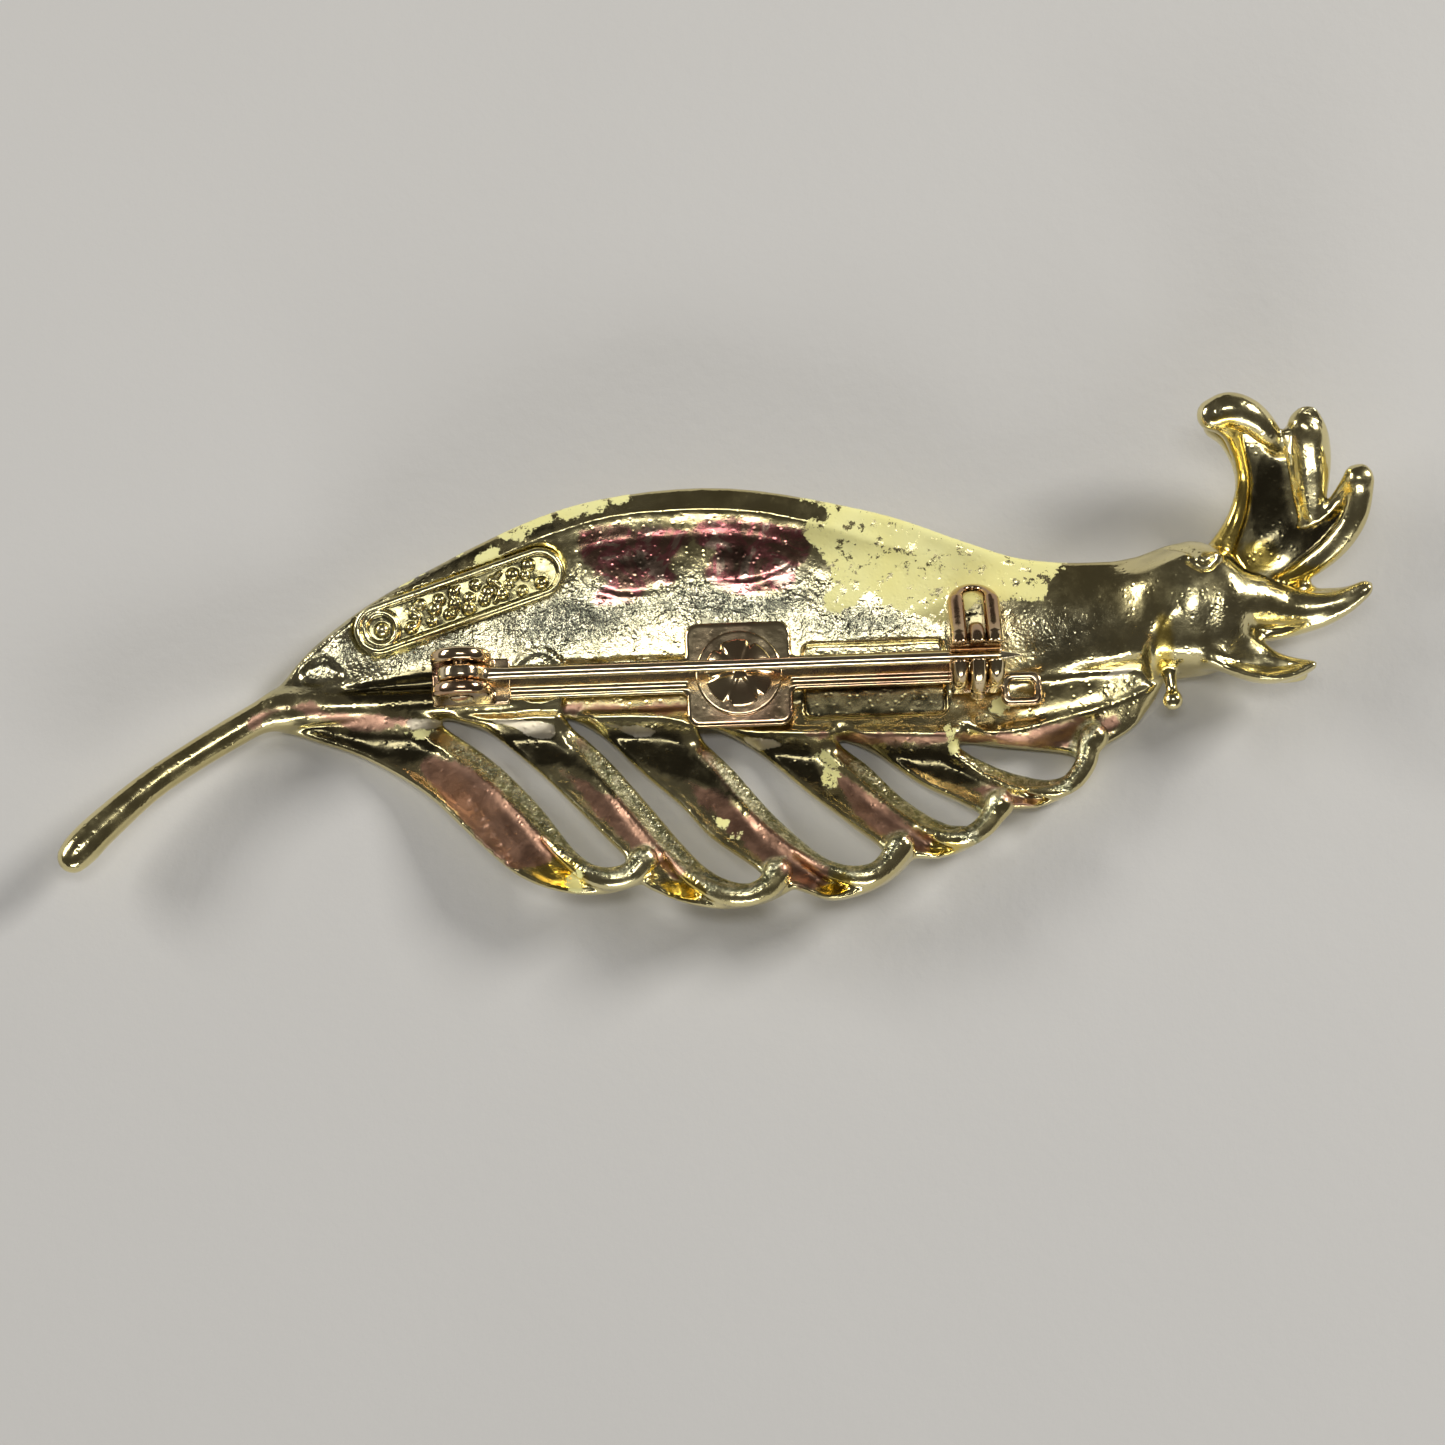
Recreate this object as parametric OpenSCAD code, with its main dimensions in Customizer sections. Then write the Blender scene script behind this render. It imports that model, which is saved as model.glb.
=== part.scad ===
// Cast feather brooch with a riveted bar pin-back and a safety catch.
// It lies on its front: +Z is the back of the brooch, +X runs from the quill to the crown.

/* [Feather] */
// Radius of the dished blade across its width
dish_r = 26; // [24:0.5:30]
// Thickness of the blade
blade_t = 1.9; // [1.6:0.1:2.2]
// How much of the rounded front is ground flat
front_flat = 0.35; // [0.2:0.05:0.5]
// Radius of the quill where it leaves the blade
quill_r = 0.85; // [0.7:0.05:1]

/* [Bar and rivet] */
// Angle of the pin-back to the feather's length
finding_turn = 2.1; // [0:0.1:4]
// Width of the bar
bar_w = 1.9; // [1.6:0.1:2.2]
// Thickness of the bar
bar_t = 0.55; // [0.45:0.05:0.6]
// Width of the square pad
pad_w = 5.9; // [5.5:0.1:6.2]
// Radius of the centre rivet's shank
rivet_r = 0.9; // [0.8:0.05:1]
// Radius of the centre rivet's domed head
dome_r = 2; // [1.8:0.1:2.2]

/* [Pin stem and hinge] */
// Radius of the pin wire
wire_r = 0.325; // [0.3:0.025:0.35]
// Height of the wire above the bar's top
wire_up = 2.35; // [2.3:0.05:2.6]
// Radius of the hinge rivet
hinge_r = 0.45; // [0.4:0.05:0.5]
// Radius of the two ears
ear_r = 1.7; // [1.6:0.05:1.8]

/* [Safety catch] */
// Radius of the catch's cheeks
cheek_r = 1.85; // [1.8:0.05:1.9]
// Width of the slots that the wire leaves by
mouth_w = 0.95; // [0.9:0.05:1]
// Radius of the lever's central ring
lever_r = 1.9; // [1.85:0.05:1.95]

/* [Hidden] */
$fn = 64;
far = 60;
run = 0.03;

// The blade is the space between two long cylinders whose axes lie along X.
dish_y = -1.5;
front_z = dish_r - front_flat;
back_z = front_z + blade_t;
function back_at(y) = back_z - sqrt(dish_r * dish_r - (y - dish_y) * (y - dish_y));

// The pin-back has its own axes: u along the bar, v across it, from the centre rivet.
middle = [0.09, -0.34];
rivet_at = [1.3, -1.1];
boss_r = 2.6;
bar_z = back_at(dish_y) + 0.45;
bar_top = bar_z + bar_t;
washer_t = 0.25;
washer_r = 2.4;
dome_h = 0.7;
wire_z = bar_top + wire_up;
hinge_u = -15.2;
catch_u = 13;
bar_from = hinge_u - 0.7;
bar_to = catch_u + 1.7;
tip_u = 15.5;
eye_r = 1.3;
eye_t = 0.86;
ear_gap = 1.1;
ear_t = 0.75;
base_t = 0.3;
shank_from = -12.9;
shank_to = 11.3;
slot_w = 1;
cheek_len = 0.95;
sleeve_r = 0.98;
sleeve_bore = 0.6;
lever_w = 0.84;
foot_reach = 4.6;
loop_at = [catch_u + 2.5, -1.5];
loop_t = 0.6;

// The signature tag leans with the dished back.
tag_at = [-14.2, 3.1];
tag_turn = 19.5;
tag_lean = 10;
tag_len = 9.4;
tag_w = 2.8;
tag_sunk = 0.3;

gold = "goldenrod";
pale = "khaki";
steel = "palegoldenrod";

// ---- curves ----

function spline(a, b, c, d, t) = 0.5 * (2 * b + (c - a) * t + (2 * a - 5 * b + 4 * c - d) * t * t
    + (3 * b - a - 3 * c + d) * t * t * t);

// A smooth run through hand-chosen points.
function curve(p, steps = 4) = [for (i = [0:len(p) - 2], j = [0:steps - 1])
    spline(p[max(i - 1, 0)], p[i], p[i + 1], p[min(i + 2, len(p) - 1)], j / steps), p[len(p) - 1]];

// A tapered rod from p to q.
module rod(p, q, r1, r2) {
    d = q - p;
    flat = norm([d[0], d[1]]);
    translate(p) rotate([0, atan2(flat, d[2]), atan2(d[1], d[0])]) cylinder(r1 = r1, r2 = r2, h = norm(d));
}

// Rods end to end, with slightly proud balls at the joints.
module rods(points, radii) {
    for (i = [0:len(points) - 2]) rod(points[i], points[i + 1], radii[i], radii[i + 1]);
    for (i = [1:len(points) - 1]) translate(points[i]) sphere(r = radii[i] * 1.04);
}

// ---- feather casting ----

upper_edge = [[-24.4, -1.9], [-22.4, 0.6], [-18.5, 3.6], [-12, 7], [-6.5, 8.8], [0.7, 9.4],
    [8.4, 8.2], [13.9, 6.4], [19, 4.9], [22, 4.9], [25, 5.8]];
neck_edge = [[26.5, 5.6], [27, 2], [25.6, -0.6], [24.7, -1.2]];
rib_edges = [
    [[24.6, -1.6], [23.4, -3.6], [21.4, -4.9]],
    [[20.9, -5.3], [20.3, -6.8], [19.2, -7.8], [17.7, -8.4]],
    [[16.2, -8.5], [15.2, -9.6], [13.9, -10.8], [12.2, -11.4]],
    [[10.9, -11.4], [9.6, -12.7], [8.1, -13.5], [6.4, -13.9], [5.1, -13.5]],
    [[4.3, -13.2], [2.6, -14.1], [0.4, -14.4], [-1.8, -14], [-3.6, -13.2]],
    [[-4, -12.9], [-6, -13.5], [-8.3, -13.4], [-10.8, -12.4], [-13.3, -10.2], [-16, -7.6],
        [-19.3, -5.6], [-22.4, -4.5], [-24.6, -3.8]]];
slots = [
    [[-15.2, -3.4], [-12.4, -5.5], [-9.8, -8.1], [-7.5, -11.1], [-6.1, -11.9], [-4.9, -11.5],
        [-6, -10.2], [-7.7, -8.4], [-9.6, -6.5], [-11.6, -4.8], [-13.1, -3.8]],
    [[-8.4, -3.2], [-6.3, -5.1], [-3.7, -8.1], [-1.6, -10.7], [0, -12.3], [1.6, -12.9], [2.5, -12.3],
        [-0.2, -10.2], [-1.9, -8.3], [-3.7, -6.7], [-6.3, -4.3]],
    [[-1, -3.9], [1.1, -6.2], [3.1, -8.6], [5.2, -10.7], [6.7, -11.7], [8.2, -11.8], [9.2, -11],
        [7.4, -9.4], [5.2, -7.6], [2.9, -5.6], [0.7, -4.2]],
    [[6.8, -4.5], [8.4, -5.8], [10.4, -7.8], [12.3, -9.1], [13.9, -9.5], [14.7, -8.9],
        [13.3, -8], [11.3, -7], [8.8, -5.2]],
    [[13.4, -4.7], [15.4, -5.9], [17.2, -6.5], [18.8, -6.7], [19.9, -6], [19.7, -5.3], [16.2, -4.9]]];
// Rolled ends of the ribs: place and size of each knuckle.
knuckles = [[-4, -11.6, 0.9], [3.3, -12.3, 0.8], [9.9, -10.8, 0.8], [15.4, -8.4, 0.7], [20.7, -4.7, 0.7]];

module blade_outline() {
    difference() {
        polygon(concat(curve(upper_edge, 3), curve(neck_edge, 2), [for (e = rib_edges) each curve(e, 2)]));
        for (s = slots) polygon(curve(concat(s, [s[0]]), 2));
    }
}

// A bar of metal along X with a cylindrical top and bottom.
module dish_space() {
    difference() {
        translate([0, dish_y, front_z]) rotate([0, 90, 0]) cylinder(r = dish_r, h = far, center = true, $fn = 128);
        translate([0, dish_y, back_z]) rotate([0, 90, 0]) cylinder(r = dish_r, h = far + 2, center = true, $fn = 128);
        translate([0, 0, -5]) cube([far + 2, far, 10], center = true);
    }
}

module blade() {
    intersection() {
        dish_space();
        linear_extrude(9) blade_outline();
    }
    for (k = knuckles) translate([k[0], k[1], back_at(k[1])]) sphere(r = k[2]);
    // raised midrib on the front, which carries the brooch when it lies down
    rods([[-24, -2.9, 1.2], [-8, -2.1, 0.78], [12, -1.4, 0.78], [22, 0.6, 1.1]], [0.9, 0.75, 0.75, 0.9]);
}

module quill() {
    rods([[-22.5, -2.7, 1.4], [-25.4, -3.5, 1.6], [-30.4, -6.8, 2.1], [-34, -10, 2.6], [-35.1, -11.4, 2.8]],
        [0.95, quill_r, quill_r, 1, 0.85]);
}

// The neck is the lens between two cylinders, cut to its own outline.
module neck() {
    intersection() {
        // the back rises out of the dished blade towards the crown
        translate([15, 2.1, -3.4]) rotate([0, 71, 3]) cylinder(r = 4.6, h = 14);
        translate([15, 2.3, 4.2]) rotate([0, 90, 3]) cylinder(r = 3.7, h = 14);
        linear_extrude(6) polygon([[16, 5.4], [22, 4.9], [26.4, 5.9], [28.4, 7], [28.4, 0], [25, -0.9], [16, -1.6]]);
    }
    translate([27, 2.3, 3.5]) sphere(r = 2.7);
}

// The crown is a bowl-shaped shell cut to five petals, two of them with rolled lips.
crown_at = [29.8, 5.2, 11.2];
crown_r = 10.6;
crown_t = 1.3;
petal_edges = [
    // from the neck up the first petal, along its lip, and down the second petal
    [[27, 1], [27.7, 5.4], [28.5, 7.8], [28.9, 9.8], [28.4, 11.3], [27.1, 12.2], [27.1, 13.3], [28.3, 13.8],
        [30.2, 13.2], [31.3, 11.9]],
    [[31.5, 12.4], [32.1, 13.2], [33.1, 12.9], [33.8, 11.6], [33.9, 10.1], [33.4, 8.6]],
    // third petal
    [[34, 8.5], [34.7, 9], [35, 9.9], [35.7, 10.1], [36.2, 9.2], [36, 7.8], [35.2, 6.4], [34, 5.4], [32.7, 4.5]],
    // fourth petal
    [[33.4, 3.8], [34.8, 3.7], [35.9, 3.8], [36.1, 3.3], [35.2, 2.4], [33.8, 1.6], [31.8, 1], [29.9, 0.7]],
    // fifth petal
    [[30.8, 0], [31.9, -0.5], [32.8, -0.9], [32.2, -1.6], [30.8, -2.1], [29.4, -2.1], [27.8, -1.4], [27, -0.9]]];

module crown() {
    intersection() {
        difference() {
            translate(crown_at) sphere(r = crown_r, $fn = 96);
            translate(crown_at) sphere(r = crown_r - crown_t, $fn = 96);
        }
        linear_extrude(crown_at[2]) polygon([for (e = petal_edges) each curve(e, 2)]);
    }
    rods([[27.5, 12.8, 6.8], [29.2, 12.5, 6.6], [30.7, 11.6, 5.4]], [0.95, 0.85, 0.5]);
    rods([[32.9, 11.2, 4.9], [32.3, 12.2, 6], [31.8, 12.1, 6.6]], [0.6, 0.85, 0.6]);
    // bead on its stalk below the neck
    rod([24.9, -0.2, 2.6], [25.2, -2.3, 2.6], 0.5, 0.3);
    translate([25.2, -2.6, 2.6]) sphere(r = 0.57);
}

// The origin is the middle of the brooch's footprint.
module centred() {
    translate([-middle[0], -middle[1], 0]) children();
}

module on_back() {
    translate([rivet_at[0], rivet_at[1], 0]) rotate([0, 0, finding_turn]) children();
}

module on_tag() {
    translate([tag_at[0], tag_at[1], back_at(tag_at[1])]) rotate([tag_lean, 0, 0])
        rotate([0, 0, tag_turn]) translate([0, 0, -tag_sunk]) children();
}

module stadium(length, width) {
    square([length, width], center = true);
    for (s = [-1, 1]) translate([s * length / 2, 0]) circle(d = width);
}

module feather_casting() {
    color(gold) centred() difference() {
        union() {
            blade();
            quill();
            neck();
            crown();
            on_back() translate([0, 0, 0.6]) cylinder(r = boss_r, h = bar_z - 0.6);
        }
        // blind hole for the centre rivet
        on_back() translate([0, 0, bar_z - 1.2]) cylinder(r = rivet_r + run, h = far);
        // seat for the signature tag
        on_tag() linear_extrude(far) stadium(tag_len, tag_w + 0.1);
        // shallow moulding marks: a round one and a long panel
        translate([-9.8, -0.9, back_at(-0.9) - 0.1]) difference() {
            cylinder(r = 1.5, h = 2);
            translate([0, 0, -1]) cylinder(r = 1.25, h = 4);
        }
        translate([5, -3.3, back_at(dish_y) - 0.2]) cube([7.5, 2.2, 1]);
    }
}

// ---- signature tag ----

module signature_tag() {
    rim = 0.35;
    color(pale) centred() on_tag() {
        difference() {
            linear_extrude(0.95) stadium(tag_len, tag_w);
            translate([0, 0, 0.7]) linear_extrude(1) stadium(tag_len, tag_w - 2 * rim);
        }
        // plain ornament: a ring and a waving double row of beads
        translate([-tag_len / 2 + 0.1, 0, 0.6]) difference() {
            cylinder(r = 0.8, h = 0.35);
            translate([0, 0, -0.1]) cylinder(r = 0.45, h = 1);
        }
        for (i = [0:8], s = [-1, 1])
            translate([-2.7 + 0.85 * i, s * 0.42 + 0.14 * sin(70 * i), 0.6]) cylinder(r = 0.22, h = 0.33);
    }
}

// ---- bar, washer and rivet ----

module pin_bar() {
    color(gold) centred() on_back() translate([0, 0, bar_z]) difference() {
        linear_extrude(bar_t) {
            translate([bar_from, -bar_w / 2]) square([bar_to - bar_from, bar_w]);
            translate([bar_from, 0]) circle(d = bar_w);
            intersection() {
                square(pad_w, center = true);
                rotate(45) square(pad_w * 1.26, center = true);
            }
        }
        translate([0, 0, -1]) cylinder(r = rivet_r + run, h = 4);
    }
}

module rivet_washer() {
    color(gold) centred() on_back() translate([0, 0, bar_top]) difference() {
        cylinder(r = washer_r, h = washer_t);
        translate([0, 0, -1]) cylinder(r = rivet_r + run, h = 4);
    }
}

module centre_rivet() {
    ball_r = (dome_r * dome_r + dome_h * dome_h) / (2 * dome_h);
    head_z = bar_top + washer_t;
    color(gold) centred() on_back() {
        translate([0, 0, bar_z - 1.15]) cylinder(r = rivet_r, h = head_z - bar_z + 1.3);
        difference() {
            intersection() {
                translate([0, 0, head_z]) cylinder(r = dome_r, h = dome_h);
                translate([0, 0, head_z + dome_h - ball_r]) sphere(r = ball_r, $fn = 96);
            }
            // star of shallow creases
            for (a = [0:60:300]) rotate([0, 0, a]) translate([0.5, 0, head_z + dome_h + 0.02])
                rotate([0, 102, 0]) cylinder(r = 0.14, h = 2);
        }
    }
}

// ---- hinge ----

// A shape drawn in the u-z plane and given a thickness along v.
module upright(thickness, at_v) {
    translate([0, at_v + thickness / 2, 0]) rotate([90, 0, 0]) linear_extrude(thickness) children();
}

module across_bar(radius, length) {
    rotate([90, 0, 0]) cylinder(r = radius, h = length, center = true);
}

module hinge_knuckle() {
    color(gold) centred() on_back() difference() {
        union() {
            for (s = [-1, 1]) upright(ear_t, s * (ear_gap + ear_t) / 2) {
                translate([hinge_u, wire_z]) circle(r = ear_r);
                translate([hinge_u - ear_r, bar_top]) square([2 * ear_r, wire_z - bar_top]);
            }
            translate([hinge_u - ear_r, -ear_gap / 2 - ear_t, bar_top])
                cube([2 * ear_r + 0.9, ear_gap + 2 * ear_t, base_t]);
        }
        translate([hinge_u, 0, wire_z]) across_bar(hinge_r + run, 9);
    }
}

module hinge_rivet() {
    head_t = 0.22;
    half = ear_gap / 2 + ear_t;
    color(steel) centred() on_back() translate([hinge_u, 0, wire_z]) {
        across_bar(hinge_r, 2 * half + 0.1);
        for (s = [-1, 1]) translate([0, s * (half + head_t / 2), 0]) across_bar(0.8, head_t);
    }
}

// ---- pin stem ----

module pin_stem() {
    color(steel) centred() on_back() translate([0, 0, wire_z]) {
        difference() {
            union() {
                translate([hinge_u, 0, 0]) across_bar(eye_r, eye_t);
                translate([hinge_u, 0, 0]) rotate([0, 90, 0]) cylinder(r1 = 0.42, r2 = wire_r, h = shank_from - hinge_u);
            }
            translate([hinge_u, 0, 0]) across_bar(hinge_r + run, 9);
        }
        translate([shank_from, 0, 0]) rotate([0, 90, 0]) cylinder(r = wire_r, h = shank_to - shank_from);
        // the point end is drawn slightly finer, then sharpened
        translate([shank_to, 0, 0]) rotate([0, 90, 0]) cylinder(r1 = wire_r, r2 = 0.29, h = 3);
        translate([shank_to + 3, 0, 0]) rotate([0, 90, 0]) cylinder(r1 = 0.29, r2 = 0.04, h = tip_u - shank_to - 3);
    }
}

// ---- safety catch ----

// A rectangle with round corners.
module rounded(long, wide, corner) {
    square([long - 2 * corner, wide], center = true);
    square([long, wide - 2 * corner], center = true);
    for (x = [-1, 1], y = [-1, 1]) translate([x * (long / 2 - corner), y * (wide / 2 - corner)]) circle(r = corner);
}

// A shape drawn in the v-z plane and given a length along u.
module profile(length, at_u) {
    translate([at_u - length / 2, 0, 0]) rotate([90, 0, 90]) linear_extrude(length) children();
}

module catch_housing() {
    width = slot_w + 2 * cheek_len;
    color(gold) centred() on_back() difference() {
        union() {
            intersection() {
                // seen from above: a U whose bend is the foot
                translate([catch_u, 0, bar_top]) linear_extrude(9) difference() {
                    union() {
                        translate([-width / 2, -cheek_r - 0.1]) square([width, foot_reach - width / 2 + cheek_r + 0.1]);
                        translate([0, foot_reach - width / 2]) circle(d = width);
                    }
                    translate([-slot_w / 2, -5]) square([slot_w, foot_reach - 0.6 + 5 - slot_w / 2]);
                    translate([0, foot_reach - 0.6 - slot_w / 2]) circle(d = slot_w);
                }
                // seen from the side: the cheeks slope down to the foot
                profile(9, catch_u) {
                    translate([0, wire_z]) circle(r = cheek_r);
                    polygon([[-cheek_r, wire_z], [-1.6, bar_top], [foot_reach, bar_top], [foot_reach, bar_top + 0.7],
                        [3.6, bar_top + 2], [1.2, wire_z + 1.4]]);
                }
            }
            // base plate on the bar, and its loop
            translate([catch_u - width / 2, -1.6, bar_top]) cube([width, 3.4, base_t]);
            translate([loop_at[0], loop_at[1], bar_top]) linear_extrude(loop_t) rounded(2.3, 1.9, 0.5);
        }
        profile(9, catch_u) {
            translate([0, wire_z]) circle(r = sleeve_r + run);
            translate([-mouth_w / 2, wire_z]) square([mouth_w, 4]);
        }
        translate([loop_at[0], loop_at[1], 0]) linear_extrude(far) rounded(1.3, 0.95, 0.25);
    }
}

module catch_lever() {
    color(gold) centred() on_back() difference() {
        union() {
            profile(slot_w + 2 * cheek_len, catch_u) translate([0, wire_z]) circle(r = sleeve_r);
            profile(lever_w, catch_u) translate([0, wire_z]) {
                circle(r = lever_r);
                // thumb tab
                polygon([[-0.5, lever_r - 0.06], [-1.7, 1.1], [-2.35, -0.05], [-2.3, -0.65], [-1.6, -0.8]]);
            }
        }
        profile(9, catch_u) translate([0, wire_z]) {
            circle(r = sleeve_bore);
            translate([-mouth_w / 2, 0]) square([mouth_w, 4]);
        }
    }
}

feather_casting();
signature_tag();
pin_bar();
rivet_washer();
centre_rivet();
hinge_knuckle();
hinge_rivet();
pin_stem();
catch_housing();
catch_lever();
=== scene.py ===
"""Feather brooch with a riveted bar pin-back: the visual model, its materials and its studio.

The soft cast and stamped shapes are made as distance fields, in millimetres, and then meshed.
Field axes of the casting: x from the quill to the crown, y across the feather, z up out of its back.
"""
import math

import bpy
import numpy as np
from mathutils import Matrix, Vector


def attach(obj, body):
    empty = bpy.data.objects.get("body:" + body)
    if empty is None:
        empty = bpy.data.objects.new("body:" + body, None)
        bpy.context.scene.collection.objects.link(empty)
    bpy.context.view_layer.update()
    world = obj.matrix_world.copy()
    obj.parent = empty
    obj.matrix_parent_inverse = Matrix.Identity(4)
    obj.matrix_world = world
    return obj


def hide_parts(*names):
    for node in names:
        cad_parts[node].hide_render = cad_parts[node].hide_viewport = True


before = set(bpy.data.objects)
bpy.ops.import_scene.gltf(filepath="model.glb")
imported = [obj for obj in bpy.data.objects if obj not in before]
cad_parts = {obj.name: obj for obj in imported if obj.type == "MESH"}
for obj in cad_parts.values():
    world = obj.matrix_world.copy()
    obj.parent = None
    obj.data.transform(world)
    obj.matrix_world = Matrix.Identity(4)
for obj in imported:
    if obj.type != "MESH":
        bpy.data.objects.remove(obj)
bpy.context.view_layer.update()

MM = 0.001

# The same main measures as the CAD model.
MIDDLE = (0.09, -0.34)
DISH_R, BLADE_T, FRONT_FLAT, DISH_Y = 26.0, 1.9, 0.35, -1.5
FRONT_Z = DISH_R - FRONT_FLAT
BACK_Z = FRONT_Z + BLADE_T
RIVET_AT, FINDING_TURN = (1.3, -1.1), 2.1
BAR_Z, BAR_TOP, WIRE_Z = 2.0, 2.55, 4.9
HINGE_U, CATCH_U = -15.2, 13.0
RIVET_R, RIVET_HOLE_R, WASHER_R, PAD_HALF = 0.9, 0.93, 2.4, 2.95
EAR_R, EYE_R, PIVOT_R, PIVOT_HOLE_R, WIRE_R = 1.68, 1.3, 0.45, 0.48, 0.325
SLEEVE_R, SLEEVE_HOLE_R, WIRE_GAP, WIRE_HOLE_R = 0.98, 1.01, 0.475, 0.6
TAG_AT, TAG_TURN, TAG_LEAN, TAG_LEN, TAG_W, TAG_SUNK = (-14.2, 3.1), 19.5, 10.0, 9.4, 2.8, 0.3


# ---------------------------------------------------------------- numbers and curves

def smooth_step(value, low, high):
    t = np.clip((value - low) / (high - low), 0, 1)
    return t * t * (3 - 2 * t)


def blend_min(a, b, k):
    """Union of two distances with a fillet of about k."""
    if k <= 0:
        return np.minimum(a, b)
    h = np.maximum(k - np.abs(a - b), 0) / k
    return np.minimum(a, b) - h * h * k / 4


def blend_max(a, b, k):
    """Intersection of two distances with a rounded edge of about k."""
    return -blend_min(-a, -b, k)


def curve(points, steps=5, closed=False):
    """A smooth run through given points (Catmull-Rom)."""
    p = [np.array(q, float) for q in points]
    n = len(p)
    out = []
    for i in range(n if closed else n - 1):
        pick = (lambda j: p[j % n]) if closed else (lambda j: p[min(max(j, 0), n - 1)])
        a, b, c, d = pick(i - 1), pick(i), pick(i + 1), pick(i + 2)
        for s in range(steps):
            t = s / steps
            out.append(0.5 * (2 * b + (c - a) * t + (2 * a - 5 * b + 4 * c - d) * t * t
                              + (3 * b - a - 3 * c + d) * t ** 3))
    if not closed:
        out.append(p[-1])
    return np.array(out)


def outline_distance(points, x, y):
    """Signed distance to a closed outline, negative inside."""
    best = np.full(np.broadcast(x, y).shape, 1e9, np.float32)
    inside = np.zeros(best.shape, bool)
    for (ax, ay), (bx, by) in zip(points, np.roll(points, -1, axis=0)):
        ex, ey = bx - ax, by - ay
        length = ex * ex + ey * ey
        if length < 1e-12:
            continue
        t = np.clip(((x - ax) * ex + (y - ay) * ey) / length, 0, 1)
        best = np.minimum(best, (x - ax - t * ex) ** 2 + (y - ay - t * ey) ** 2)
        if ay != by:
            inside ^= ((ay > y) != (by > y)) & (x < ax + (y - ay) / (by - ay) * ex)
    return np.where(inside, -1, 1) * np.sqrt(best)


def patch_distance(points, x, y, steps=4):
    """Signed distance to a smooth closed outline through given points."""
    return outline_distance(curve(points, steps, closed=True), x, y)


def line_distance(points, x, y):
    """Distance to an open line, positive on its left, and how far along it the nearest place is (0 to 1)."""
    shape = np.broadcast(x, y).shape
    best = np.full(shape, 1e9, np.float32)
    side = np.ones(shape, np.float32)
    along = np.zeros(shape, np.float32)
    lengths = np.hypot(*np.diff(points, axis=0).T)
    total, run = lengths.sum(), 0.0
    for (ax, ay), (bx, by), length in zip(points[:-1], points[1:], lengths):
        ex, ey = (bx - ax) / length, (by - ay) / length
        reach = (x - ax) * ex + (y - ay) * ey
        t = np.clip(reach, 0, length)
        d = (x - ax - t * ex) ** 2 + (y - ay - t * ey) ** 2
        closer = d < best
        best = np.where(closer, d, best)
        cross = ex * (y - ay) - ey * (x - ax)
        side = np.where(closer, np.where(cross >= 0, 1, -1), side)
        along = np.where(closer, (run + t) / total, along)
        run += length
    return np.sqrt(best) * side, along


def lumps(x, y, size, seed):
    """Smooth irregular waves from -1 to 1, about size apart."""
    grid = np.random.default_rng(seed).uniform(-1, 1, (96, 96))
    u, v = np.asarray(x) / size + 48, np.asarray(y) / size + 48
    i, j = np.floor(u).astype(int) % 95, np.floor(v).astype(int) % 95
    s, t = (w * w * w * (w * (6 * w - 15) + 10) for w in (u - np.floor(u), v - np.floor(v)))
    near = grid[i, j] * (1 - s) + grid[i + 1, j] * s
    far = grid[i, j + 1] * (1 - s) + grid[i + 1, j + 1] * s
    return near * (1 - t) + far * t


def turned(x, y, at, degrees):
    """Coordinates along axes that start at a place and are turned."""
    a = math.radians(degrees)
    dx, dy = x - at[0], y - at[1]
    return dx * math.cos(a) + dy * math.sin(a), dy * math.cos(a) - dx * math.sin(a)


def from_point(x, y, z, at):
    return np.sqrt((x - at[0]) ** 2 + (y - at[1]) ** 2 + (z - at[2]) ** 2)


# ---------------------------------------------------------------- distance fields

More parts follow.
